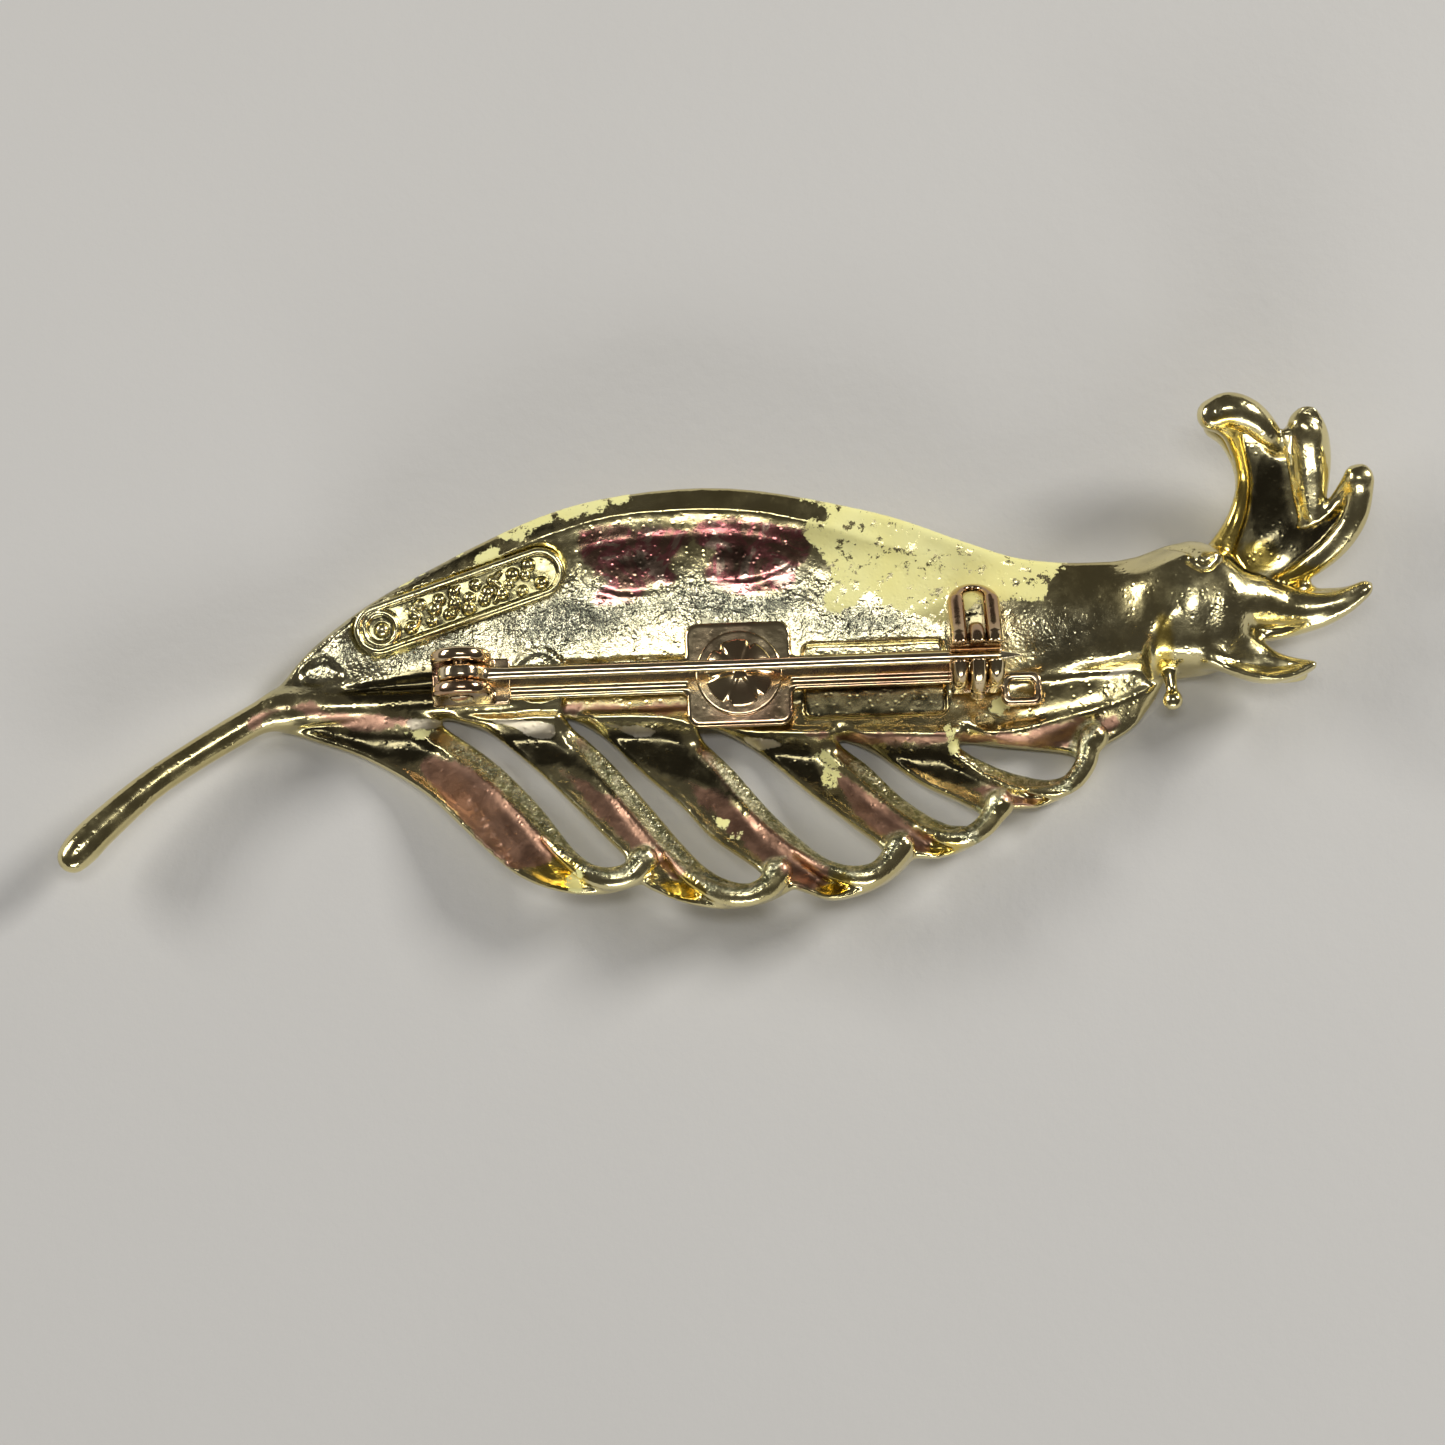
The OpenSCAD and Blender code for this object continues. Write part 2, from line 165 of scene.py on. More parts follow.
class Field:
    """A block of space that holds the distance to a solid's skin, in millimetres."""

    def __init__(self, low, high, step):
        self.low, self.step = np.array(low, float), step
        counts = [int(math.ceil((b - a) / step)) + 1 for a, b in zip(low, high)]
        self.axes = [low[i] + step * np.arange(counts[i]) for i in range(3)]
        self.value = np.full(counts, 9.0, np.float32)

    def part(self, low=None, high=None):
        """Slices and coordinates of the block between two corners."""
        cut = []
        for i, axis in enumerate(self.axes):
            a = 0 if low is None else max(int(np.searchsorted(axis, low[i])) - 1, 0)
            b = len(axis) if high is None else min(int(np.searchsorted(axis, high[i])) + 1, len(axis))
            cut.append(slice(a, max(b, a)))
        x, y, z = (axis[s].astype(np.float32) for axis, s in zip(self.axes, cut))
        return tuple(cut), x[:, None, None], y[None, :, None], z[None, None, :]

    def add(self, shape, k=0.0, low=None, high=None):
        cut, x, y, z = self.part(low, high)
        self.value[cut] = blend_min(self.value[cut], shape(x, y, z), k)

    def cut(self, shape, k=0.0, low=None, high=None):
        cut, x, y, z = self.part(low, high)
        self.value[cut] = blend_max(self.value[cut], -shape(x, y, z), k)

    def tube(self, points, radii, k=0.0, steps=5, carve=False):
        """A tapering tube through 3-D points: the fourth curve coordinate is its radius."""
        p = curve([(*q, r) for q, r in zip(points, radii)], steps)
        reach = p[:, 3].max() + k + 3 * self.step
        low, high = p[:, :3].min(0) - reach, p[:, :3].max(0) + reach
        cut, x, y, z = self.part(low, high)
        best = None
        for a, b in zip(p[:-1], p[1:]):
            e = b[:3] - a[:3]
            length = float(e @ e) + 1e-12
            t = np.clip(((x - a[0]) * e[0] + (y - a[1]) * e[1] + (z - a[2]) * e[2]) / length, 0, 1)
            d = np.sqrt((x - a[0] - t * e[0]) ** 2 + (y - a[1] - t * e[1]) ** 2 + (z - a[2] - t * e[2]) ** 2)
            d = d - (a[3] + t * (b[3] - a[3]))
            best = d if best is None else np.minimum(best, d)
        now = self.value[cut]
        self.value[cut] = blend_max(now, -best, k) if carve else blend_min(now, best, k)

    def top(self, x, y):
        """Height of the skin over a place."""
        i = int(round((x - self.low[0]) / self.step))
        j = int(round((y - self.low[1]) / self.step))
        column = np.flatnonzero(self.value[i, j] < 0)
        return float(self.axes[2][column[-1]]) if len(column) else 0.0

    def on_skin(self, points, lift=0.0):
        """Points (x, y) or (x, y, own lift) set on the skin."""
        return [(q[0], q[1], self.top(q[0], q[1]) + lift + (q[2] if len(q) > 2 else 0)) for q in points]

    def sample(self, points):
        """Distance at any points, by linear interpolation."""
        q = (points - self.low) / self.step
        shape = np.array(self.value.shape)
        base = np.clip(np.floor(q).astype(int), 0, shape - 2)
        f = q - base
        total = np.zeros(len(points))
        for corner in range(8):
            o = np.array([(corner >> b) & 1 for b in range(3)])
            weight = np.prod(np.where(o == 1, f, 1 - f), axis=1)
            total += weight * self.value[tuple((base + o).T)]
        return total

    def gradient(self, points, reach=0.6):
        h = self.step * reach
        out = np.empty_like(points)
        for i in range(3):
            d = np.zeros(3)
            d[i] = h
            out[:, i] = self.sample(points + d) - self.sample(points - d)
        return out / (2 * h)

    def close_pinches(self):
        """Fill the grid squares whose corners alternate, where the skin would touch itself along an edge."""
        units, found = np.eye(3, dtype=int), True
        while found:
            found = False
            for axis in range(3):
                b, c = units[(axis + 1) % 3], units[(axis + 2) % 3]
                around = (0 * b, b, b + c, c)
                shape = np.array(self.value.shape) - b - c
                s = [self.value[tuple(slice(k, k + n) for k, n in zip(o, shape))] < 0 for o in around]
                squares = np.argwhere((s[0] == s[2]) & (s[1] == s[3]) & (s[0] != s[1]))
                if len(squares):
                    found = True
                    corners = np.stack([squares + o for o in around])
                    values = self.value[tuple(corners.transpose(2, 0, 1))]
                    nearest = np.where(values < 0, np.inf, values).argmin(0)
                    self.value[tuple(corners[nearest, np.arange(len(squares))].T)] = -0.02 * self.step

    def skin(self):
        """Surface net: one corner in each cell that the skin crosses, one face on each crossed edge."""
        self.close_pinches()
        inside = self.value < 0
        corners = [(slice(o & 1, None if o & 1 else -1), slice(o >> 1 & 1, None if o >> 1 & 1 else -1),
                    slice(o >> 2 & 1, None if o >> 2 & 1 else -1)) for o in range(8)]
        count = sum(inside[c].astype(np.int8) for c in corners)
        cells = np.argwhere((count > 0) & (count < 8))
        values = [self.value[tuple((cells + [o & 1, o >> 1 & 1, o >> 2 & 1]).T)] for o in range(8)]
        total, hits = np.zeros((len(cells), 3)), np.zeros(len(cells))
        for o in range(8):
            for axis in range(3):
                if o >> axis & 1:
                    continue
                a, b = values[o], values[o | 1 << axis]
                cross = (a < 0) != (b < 0)
                t = np.where(cross, a / np.where(cross, a - b, 1), 0)
                place = np.array([o & 1, o >> 1 & 1, o >> 2 & 1], float)[None].repeat(len(cells), 0)
                place[:, axis] += t
                total += place * cross[:, None]
                hits += cross
        points = self.low + self.step * (cells + total / hits[:, None])
        number = np.full(np.array(self.value.shape) - 1, -1, np.int32)
        number[tuple(cells.T)] = np.arange(len(cells))
        faces = []
        for axis in range(3):
            b, c = (axis + 1) % 3, (axis + 2) % 3
            near = [slice(None)] * 3
            far = [slice(None)] * 3
            near[axis], far[axis] = slice(None, -1), slice(1, None)
            edges = np.argwhere(inside[tuple(near)] != inside[tuple(far)])
            edges = edges[(edges[:, b] > 0) & (edges[:, c] > 0)]
            eb, ec = np.eye(3, dtype=int)[b], np.eye(3, dtype=int)[c]
            quad = np.stack([number[tuple((edges - s).T)] for s in (0 * eb, eb, eb + ec, ec)], axis=1)
            flip = inside[tuple(edges.T)]
            quad[~flip] = quad[~flip][:, ::-1]
            faces.append(quad)
        faces = np.concatenate(faces)
        faces = faces[(faces >= 0).all(axis=1)]
        for _ in range(2):
            slope = self.gradient(points)
            move = -self.sample(points)[:, None] * slope / np.maximum((slope ** 2).sum(1), 0.2)[:, None]
            points = points + np.clip(move, -0.4 * self.step, 0.4 * self.step)
        slope = self.gradient(points)
        return points, faces, slope / np.linalg.norm(slope, axis=1)[:, None]


def add_object(name, data):
    thing = bpy.data.objects.new(name, data)
    bpy.context.scene.collection.objects.link(thing)
    return thing


def mesh_object(name, points, faces, normals, place, layers):
    """An object, in metres in the shared frame, from a skin in millimetres in its own axes."""
    turn = np.array(place.to_3x3())
    world = points @ turn.T + np.array(place.translation)
    mesh = bpy.data.meshes.new(name)
    mesh.vertices.add(len(points))
    mesh.vertices.foreach_set("co", (world * MM).astype(np.float32).ravel())
    mesh.loops.add(faces.size)
    mesh.loops.foreach_set("vertex_index", faces.astype(np.int32).ravel())
    mesh.polygons.add(len(faces))
    mesh.polygons.foreach_set("loop_start", np.arange(0, faces.size, 4, dtype=np.int32))
    mesh.polygons.foreach_set("use_smooth", np.ones(len(faces), bool))
    mesh.update(calc_edges=True)
    mesh.validate()
    mesh.normals_split_custom_set_from_vertices((normals @ turn.T).astype(np.float32))
    for layer, values in (layers or {}).items():
        data = mesh.attributes.new(layer, "FLOAT", "POINT")
        data.data.foreach_set("value", values.astype(np.float32))
    return add_object(name, mesh)


def from_field(name, field, body, node, finish, place, layers):
    """A finished piece that replaces a CAD node. layers gives its masks of worn places and of painted
    reflections, shade and highlights.
    """
    points, faces, normals = field.skin()
    piece = mesh_object(name, points, faces, normals, place, layers(points, normals) if layers else None)
    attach(piece, body)
    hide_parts(node)
    piece.data.materials.append(FINISHES[finish])


CENTRED = Matrix.Translation((-MIDDLE[0], -MIDDLE[1], 0))
ON_BACK = CENTRED @ Matrix.Translation((*RIVET_AT, 0)) @ Matrix.Rotation(math.radians(FINDING_TURN), 4, "Z")


def back_at(y):
    return BACK_Z - np.sqrt(DISH_R ** 2 - (y - DISH_Y) ** 2)


def front_at(y):
    return FRONT_Z - np.sqrt(DISH_R ** 2 - (y - DISH_Y) ** 2)


def on_back(x, y):
    """Casting coordinates turned to the pin-back's own u and v."""
    return turned(x, y, RIVET_AT, FINDING_TURN)


def box_distance(px, py, half_x, half_y, corner=0.0):
    qx, qy = np.abs(px) - half_x + corner, np.abs(py) - half_y + corner
    return np.hypot(np.maximum(qx, 0), np.maximum(qy, 0)) + np.minimum(np.maximum(qx, qy), 0) - corner


# ---------------------------------------------------------------- feather casting

UPPER_EDGE = [(-24.4, -1.9), (-22.4, 0.6), (-18.5, 3.6), (-12, 7), (-6.5, 8.8), (0.7, 9.4),
              (8.4, 8.2), (13.9, 6.4), (19, 4.9), (22, 4.9), (25, 5.8)]
NECK_EDGE = [(26.5, 5.6), (27, 2), (25.6, -0.6), (24.7, -1.2)]
RIB_EDGES = [
    [(24.6, -1.6), (23.4, -3.6), (21.4, -4.9)],
    [(20.9, -5.3), (20.3, -6.8), (19.2, -7.8), (17.7, -8.4)],
    [(16.2, -8.5), (15.2, -9.6), (13.9, -10.8), (12.2, -11.4)],
    [(10.9, -11.4), (9.6, -12.7), (8.1, -13.5), (6.4, -13.9), (5.1, -13.5)],
    [(4.3, -13.2), (2.6, -14.1), (0.4, -14.4), (-1.8, -14), (-3.6, -13.2)],
    [(-4, -12.9), (-6, -13.5), (-8.3, -13.4), (-10.8, -12.4), (-13.3, -10.2), (-16, -7.6),
     (-19.3, -5.6), (-22.4, -4.5), (-24.6, -3.8)]]
SLOTS = [
    [(-15.2, -3.4), (-12.4, -5.5), (-9.8, -8.1), (-7.5, -11.1), (-6.1, -11.9), (-4.9, -11.5),
     (-6, -10.2), (-7.7, -8.4), (-9.6, -6.5), (-11.6, -4.8), (-13.1, -3.8)],
    [(-8.4, -3.2), (-6.3, -5.1), (-3.7, -8.1), (-1.6, -10.7), (0, -12.3), (1.6, -12.9), (2.5, -12.3),
     (-0.2, -10.2), (-1.9, -8.3), (-3.7, -6.7), (-6.3, -4.3)],
    [(-1, -3.9), (1.1, -6.2), (3.1, -8.6), (5.2, -10.7), (6.7, -11.7), (8.2, -11.8), (9.2, -11),
     (7.4, -9.4), (5.2, -7.6), (2.9, -5.6), (0.7, -4.2)],
    [(6.8, -4.5), (8.4, -5.8), (10.4, -7.8), (12.3, -9.1), (13.9, -9.5), (14.7, -8.9),
     (13.3, -8), (11.3, -7), (8.8, -5.2)],
    [(13.4, -4.7), (15.4, -5.9), (17.2, -6.5), (18.8, -6.7), (19.9, -6), (19.7, -5.3), (16.2, -4.9)]]
# The crest along each rib beside its slot, and the roll that it ends in.
CRESTS = [
    [(-17, -3.9), (-14.6, -5.3), (-12.3, -7.1), (-10.4, -9.1), (-8.7, -11.1), (-7.6, -12)],
    [(-9.4, -3.6), (-7.6, -5.2), (-5.3, -8), (-3.4, -10.4), (-2, -12.1), (-1, -13)],
    [(-2, -4.3), (-0.2, -6.1), (2, -8.8), (3.9, -10.6), (5.6, -11.9), (6.6, -12.4)],
    [(5.6, -4.9), (7.3, -6.2), (9.6, -8.4), (11.4, -9.7), (12.6, -10.3), (13.4, -10.5)],
    [(12.6, -5), (14.4, -6.2), (16.2, -7.1), (17.8, -7.5), (18.6, -7.6)]]
ROLLS = [
    [(-9.4, -10.3), (-8.3, -11.4), (-7, -12.4), (-5.7, -12.8), (-4.6, -12.5), (-3.9, -11.7)],
    [(-2.7, -11.2), (-1.6, -12.5), (0, -13.5), (1.5, -13.8), (2.8, -13.3), (3.4, -12.4)],
    [(4.5, -11.2), (5.8, -12.1), (7.2, -12.6), (8.4, -12.6), (9.4, -11.9), (10.1, -10.9)],
    [(11.2, -9.7), (12.4, -10.3), (13.7, -10.3), (14.7, -9.7), (15.3, -8.9), (15.6, -8.4)],
    [(17.2, -7.5), (18.6, -7.6), (19.7, -7), (20.4, -6), (20.6, -5.1), (20.9, -4.5)]]
ROLL_RADII = [0.2, 0.42, 0.55, 0.6, 0.66, 0.82]
# Hollows at the rib tips, outside the rolls: place, half length and half width.
TIP_HOLLOWS = [(-8.7, -12.3, 1.0, 0.6, -20), (-1.9, -13.2, 0.8, 0.5, -25), (6.4, -13.1, 0.8, 0.4, 10),
               (12.4, -10.9, 0.8, 0.35, 10), (17.9, -7.9, 0.7, 0.3, 10)]
# Shallow pressed places on the upper lobe: outline and depth.
HOLLOWS = [([(-20.8, -1.9), (-18.6, -1.3), (-15, -0.9), (-14, -2), (-15.2, -2.9), (-18.6, -2.7)], 0.3),
           ([(-23, -0.6), (-21.6, 0), (-20.5, -0.9), (-21.6, -1.6), (-22.8, -1.6)], 0.22),
           ([(-8, 5.9), (-5, 6.7), (0, 7), (3.6, 6.6), (4.6, 5.4), (2.4, 4.3), (-1.5, 4), (-4.6, 3.4),
             (-7.4, 4.2)], 0.1)]
BEVEL = [(-23, -0.4), (-20.2, 1.9), (-17.5, 3.3), (-15.3, 4.1), (-12.6, 5.3), (-9.8, 6.5), (-6.5, 7.5),
         (-3.4, 7.9), (0, 8), (3, 7.8), (6.3, 7.1), (10, 6), (14, 4.9)]
RIDGE = [(-26, -3.1), (-23.5, -2.6), (-22, -2.4), (-20.4, -2.8), (-18.5, -3.2), (-15.5, -3.4), (-11.5, -3.4),
         (-8, -3.3), (-3, -3.3), (0, -4), (5, -4.2), (12.7, -4.3), (16, -4.2), (19, -3.5), (22, -2.7),
         (24.6, -1.5)]
PETAL_EDGES = [
    [(27, 1), (27.6, 5.6), (28.4, 7.4), (28.9, 8.9), (28.8, 10.4), (28, 11.6), (27, 12.2), (27.1, 13.3),
     (28.3, 13.7), (30.2, 13.1), (31.3, 11.9)],
    [(31.5, 12.4), (32.1, 13.1), (33.1, 12.9), (33.8, 11.6), (33.9, 10.1), (33.4, 8.6)],
    [(34, 8.5), (34.7, 9), (35, 9.9), (35.7, 10.1), (36.2, 9.2), (36, 7.8), (35.2, 6.4), (34, 5.4),
     (32.7, 4.5)],
    [(33.4, 3.8), (34.8, 3.7), (35.9, 3.8), (36.1, 3.3), (35.2, 2.4), (33.8, 1.6), (31.8, 1), (29.9, 0.7)],
    [(30.8, 0), (31.9, -0.4), (32.8, -0.7), (33, -1), (32.5, -1.4), (31.6, -1.8), (30.4, -2), (29.2, -1.8),
     (27.8, -1.2), (27, -0.8)]]
CROWN_AT, CROWN_R, CROWN_T, CROWN_TOP = (29.8, 5.2, 11.2), 10.6, 1.3, 7.9
NEARER, RIM_ROUND, FRONT_LOW, LOWEST, CASTING_STEP = 0.93, 0.55, 0.05, 0.02, 0.192


def casting_relief(x, y, inside):
    """Heights that the back and the front gain over their plain faces, given how far inside the rim."""
    back = np.zeros(np.broadcast(x, y).shape, np.float32)
    # bevelled rim of the upper lobe: a crest with the rim falling away outside it
    out, along = line_distance(curve(BEVEL), x, y)
    ends = smooth_step(along, 0.0, 0.12) * smooth_step(along, 1.0, 0.72)
    back += ends * (0.16 * np.exp(-(out / 0.4) ** 2) - 0.62 * np.maximum(out, 0)
                    - 0.34 * smooth_step(-out, 0.1, 1.6))
    # ridge between the upper lobe and the ribs, which lie lower
    down, along = line_distance(curve(RIDGE), x, y)
    down = -down
    back += 0.14 * np.exp(-(down / 0.28) ** 2) * smooth_step(along, 0, 0.05)
    back -= 0.72 * smooth_step(down, 0.0, 1.3) * (1 - 0.5 * smooth_step(down, 2, 6))
    # ribs: a shallow trough, a narrow crest beside the slot, and a steep face down into the slot
    ribs = smooth_step(down, 0.8, 2)
    back -= 0.3 * ribs * smooth_step(inside, 0.1, 0.7)
    for crest in CRESTS:
        off, along = line_distance(curve(crest), x, y)
        fade = smooth_step(along, 0.0, 0.15) * smooth_step(along, 1.02, 0.9)
        flank = 0.42 * np.exp(-(np.minimum(off, 0) / 0.42) ** 2) * (off > -3)
        face = 1.15 * np.clip(off, 0, 1.0)
        back += fade * smooth_step(off, 1.9, 1.3) * (flank - face)
    # shallow pressed places beside the quill
    for hollow, depth in HOLLOWS:
        back -= depth * smooth_step(-patch_distance(hollow, x, y), -0.1, 0.35)
    # hollows at the rib tips
    for hx, hy, long, wide, turn in TIP_HOLLOWS:
        u, v = turned(x, y, (hx, hy), turn)
        back -= 0.55 * np.exp(-((u / long) ** 2 + (v / wide) ** 2) ** 1.5)
    # slow waviness of the cast skin
    back += smooth_step(inside, 0.1, 0.8) * (0.05 * lumps(x, y, 2.1, 3) + 0.03 * lumps(x, y, 1.0, 5)
                                             + 0.012 * lumps(x, y, 0.5, 8))
    back = blend_max(back, -1.05, 0.3)
    # front: barbs that run out and back from the midrib
    mid = -2.1 + 0.05 * (x + 10)
    off = np.abs(y - mid)
    barb = (x + 0.8 * off) / 1.3 % 1.0
    front = 0.34 * (1 - smooth_step(np.abs(barb - 0.5), 0.5, 0.28)) * smooth_step(off, 0.8, 1.6)
    front *= smooth_step(inside, 0.2, 0.8)
    return back, front


def build_casting():
    field = Field((-36.5, -15, -0.25), (36.7, 14.4, 8.2), CASTING_STEP)
    cut, x, y, z = field.part()
    x2, y2 = x[:, :, 0], y[:, :, 0]
    outline = np.concatenate([curve(edge) for edge in (UPPER_EDGE, NECK_EDGE, *RIB_EDGES)])
    rim = outline_distance(outline, x2, y2)
    for slot in SLOTS:
        rim = np.maximum(rim, -patch_distance(slot, x2, y2, 5))
    back, front = casting_relief(x2, y2, -rim)
    high = (back_at(y2) + back)[:, :, None]
    low = (np.maximum(front_at(y2), FRONT_LOW) + front)[:, :, None]
    # a leaning face is a little nearer than the height over it
    skin = np.maximum((z - high) * NEARER, (low - z) * NEARER)
    field.value[:] = blend_max(skin, rim[:, :, None].astype(np.float32), RIM_ROUND)

    # rolls and knuckles at the rib ends
    for roll in ROLLS:
        heights = [back_at(q[1]) + lift for q, lift in zip(roll, (-0.35, -0.25, -0.25, -0.2, -0.1, 0.05))]
        field.tube([(q[0], q[1], h) for q, h in zip(roll, heights)], ROLL_RADII, 0.25)
    # midrib of the front
    field.tube([(-24, -2.9, 1.2), (-8, -2.1, 0.82), (12, -1.4, 0.82), (22, 0.6, 1.1)],
               [0.9, 0.75, 0.75, 0.9], 0.25)
    # quill, with a knobbed end
    field.tube([(-22.4, -2.5, 1.2), (-23.8, -2.9, 1.5), (-25.4, -3.5, 1.6), (-30.4, -6.8, 2.1),
                (-33.4, -9.5, 2.5), (-34.6, -10.8, 2.7), (-35.1, -11.4, 2.8)],
               [0.5, 0.95, 0.87, 0.82, 0.95, 1.0, 0.88], 0.9)

    # neck: the lens between two cylinders, and the calyx knob at its end, as plan outlines
    neck = [(14, 5.6), (22, 4.9), (25.2, 5.6), (26.4, 5.8), (26.6, 3), (26.2, 0.3), (25, -0.8), (23.3, -0.9),
            (21.5, -1.7), (19.4, -1.8), (17.2, -2.6), (14, -2.4)]
    knob = [(22.5, 4), (25.4, 5.8), (27.4, 6.2), (28.8, 5.4), (29.5, 3.6), (29.4, 1.2), (28.4, -0.4),
            (26.8, -1), (24.8, -0.8), (22.5, 0.6)]

    def cylinder(x, y, z, at, tilt, turn, r):
        a, b = math.radians(tilt), math.radians(turn)
        axis = (math.sin(a) * math.cos(b), math.sin(a) * math.sin(b), math.cos(a))
        dx, dy, dz = x - at[0], y - at[1], z - at[2]
        t = dx * axis[0] + dy * axis[1] + dz * axis[2]
        return np.sqrt((dx - t * axis[0]) ** 2 + (dy - t * axis[1]) ** 2 + (dz - t * axis[2]) ** 2) - r

    def neck_shape(x, y, z):
        body = blend_max(cylinder(x, y, z, (15, 2.1, -3.4), 71, 3, 4.6),
                         cylinder(x, y, z, (15, 2.3, 4.2), 90, 3, 3.7), 0.8)
        side = patch_distance(neck, x, y, 3)
        return blend_max(body, side, 1.2)

    def knob_shape(x, y, z):
        dome = from_point(x, y, z, (27, 2.4, 0.65)) - 5.1
        dome = blend_max(dome, from_point(x, y, z, (28.2, 3.7, -9.65)) - 15, 0.4)
        side = patch_distance(knob, x, y, 3)
        return blend_max(blend_max(dome, side, 1.8), 0.8 - z, 0.5)

    field.add(neck_shape, 1.6, (13, -4, -0.3), (30, 9, 8))
    field.add(knob_shape, 1.0, (21, -4, 0), (33, 9, 8))
    ball = lambda at, r: lambda x, y, z: from_point(x, y, z, at) - r

    # crown: a bowl-shaped shell cut to petals, thicker along their edges
    def crown(x, y, z):
        edge = outline_distance(np.concatenate([curve(e) for e in PETAL_EDGES]), x[:, :, 0], y[:, :, 0])
        edge = edge[:, :, None]
        r = from_point(x, y, z, CROWN_AT)
        angle = np.arctan2(y - 3.2, x - 27.5)
        pleat = 0.06 * np.cos(11 * angle) * smooth_step(np.hypot(x - 27.5, y - 3.2), 2.5, 5)
        thick = CROWN_T - 0.42 * smooth_step(-edge, 0.35, 1.1) + pleat
        shell = np.maximum(r - CROWN_R, CROWN_R - thick - r)
        return np.maximum(blend_max(shell, edge, 0.6), z - CROWN_TOP)

    field.add(crown, 0.7, (25.5, -3.5, -0.3), (36.7, 14.4, 8.2))

    def bowl(px, py, lift):
        """A point on the crown's inner face, or above it."""
        depth = math.sqrt((CROWN_R - CROWN_T) ** 2 - (px - CROWN_AT[0]) ** 2 - (py - CROWN_AT[1]) ** 2)
        return px, py, CROWN_AT[2] - depth + lift

    # first petal: a slim column under a rolled lip
    field.tube([bowl(28.1, 5.9, 0), bowl(28.9, 7.6, 0.1), bowl(29.25, 9.2, 0.2), bowl(29.1, 10.4, 0.5),
                (28.4, 11.7, 5.8), (27.7, 12.4, 6.4)], [0.8, 0.55, 0.42, 0.42, 0.55, 0.8], 0.25)
    field.tube([(27.3, 12.55, 6.6), (28.2, 12.8, 6.75), (29.3, 12.5, 6.5), (30.3, 11.8, 5.8), (31, 11.2, 5)],
               [0.9, 0.98, 0.92, 0.75, 0.45], 0.12)
    # second petal: a curled wall with a thin inner edge
    field.tube([bowl(33.05, 8, 0), bowl(33, 9.2, 0), bowl(32.85, 10.6, 0), (32.6, 11.7, 5.4),
                (32.3, 12.1, 5.8)], [0.6, 0.95, 1.15, 1.1, 0.85], 0.25)
    field.tube([bowl(32.6, 7.6, 0.1), bowl(32.1, 9.1, 0.5), bowl(31.75, 10.4, 0.9), (31.35, 11.7, 6)],
               [0.3, 0.24, 0.24, 0.28], 0.05)
    # third petal: a slim roll on its inner side and a full one on its outer side
    field.tube([bowl(32.5, 7.3, 0), bowl(33.4, 7.6, 0.1), bowl(34.3, 8.4, 0.1), bowl(35.2, 9.5, 0.1)],
               [0.3, 0.34, 0.38, 0.55], 0.15)
    field.tube([bowl(31.4, 4.2, -0.2), bowl(32.9, 5, -0.1), bowl(34.4, 6.2, 0), bowl(35.3, 7.6, 0),
                bowl(35.5, 9.2, 0)], [0.45, 0.65, 0.75, 0.75, 0.62], 0.3)
    field.add(ball(bowl(35.4, 9.3, 0.15), 0.74), 0.3, (34, 8, 3), (36.7, 11, 8))
    # fourth and fifth petals: full horns that start inside the knob
    field.tube([(27.6, 2.8, 3.3), (29.4, 2.95, 3.2), (31.2, 2.65, 2.8), (33, 2.5, 3), (34.5, 2.75, 3.5),
                (35.6, 3.3, 4.1)], [1.9, 1.55, 1.2, 0.9, 0.62, 0.38], 0.5)
    field.tube([(27.4, 1.4, 3), (28.7, 0.3, 2.9), (30, -0.5, 2.6), (31.3, -0.95, 2.5), (32.3, -1.15, 2.6)],
               [1.8, 1.3, 0.95, 0.68, 0.38], 0.5)
    # groove where the neck meets the crown, and the collar ridge
    field.tube(field.on_skin([(25.1, 5.9), (26.2, 5.3), (26.1, 4.7), (26.9, 4.3), (27.6, 4.9)], 0.1),
               [0.18, 0.25, 0.25, 0.25, 0.18], 0.15, carve=True)
    field.tube(field.on_skin([(25, 1.7), (24.4, 0.7), (24.2, -0.4), (24.4, -1.1)], -0.3),
               [0.45, 0.5, 0.5, 0.4], 0.35)
    # long bulge along the lower edge of the neck
    field.tube(field.on_skin([(17.4, -2.7), (19.6, -2.4), (21.6, -1.9), (23.4, -1.3)], -0.95),
               [0.8, 1.05, 1.1, 0.9], 0.9)
    # bead on its stalk
    field.tube([(24.9, -0.2, 2.6), (25.2, -2.2, 2.6)], [0.5, 0.3], 0.25)
    field.add(ball((25.2, -2.6, 2.6), 0.57), 0.12, (24, -4, 1.4), (26.5, -1.2, 3.8))

    # rivet boss and the hole in it
    def boss(x, y, z):
        u, v = on_back(x, y)
        return np.maximum(np.maximum(np.hypot(u, v) - 2.6, z - BAR_Z), 0.6 - z)

    def hole(x, y, z):
        u, v = on_back(x, y)
        return np.maximum(np.hypot(u, v) - RIVET_HOLE_R, 0.8 - z)

    field.add(boss, 0.3, (-2.5, -5, 0.4), (5.2, 3, 3))
    field.cut(hole, 0, (0, -2.5, 0.5), (2.7, 0.5, 3))

    # seat of the signature tag
    def tag_seat(x, y, z):
        u, v, w = on_tag(x, y, z)
        return np.maximum(tag_edge(u, v) - 0.1, -w)

    field.cut(tag_seat, 0.08, (-22, -1, 0), (-6, 7.5, 5))

    # moulding marks: a ring, and sunk panels under the bar
    def ring(x, y, z):
        r = np.abs(np.hypot(x + 9.8, y + 0.9) - 1.35) - 0.13
        return np.maximum(r, back_at(y) - 0.46 - z)

    def panel(at, half, depth):
        def shape(x, y, z):
            u, v = on_back(x, y)
            plan = box_distance(u - at[0], v - at[1], half[0], half[1], 0.35)
            return np.maximum(plan, back_at(DISH_Y) - depth - z)
        return shape

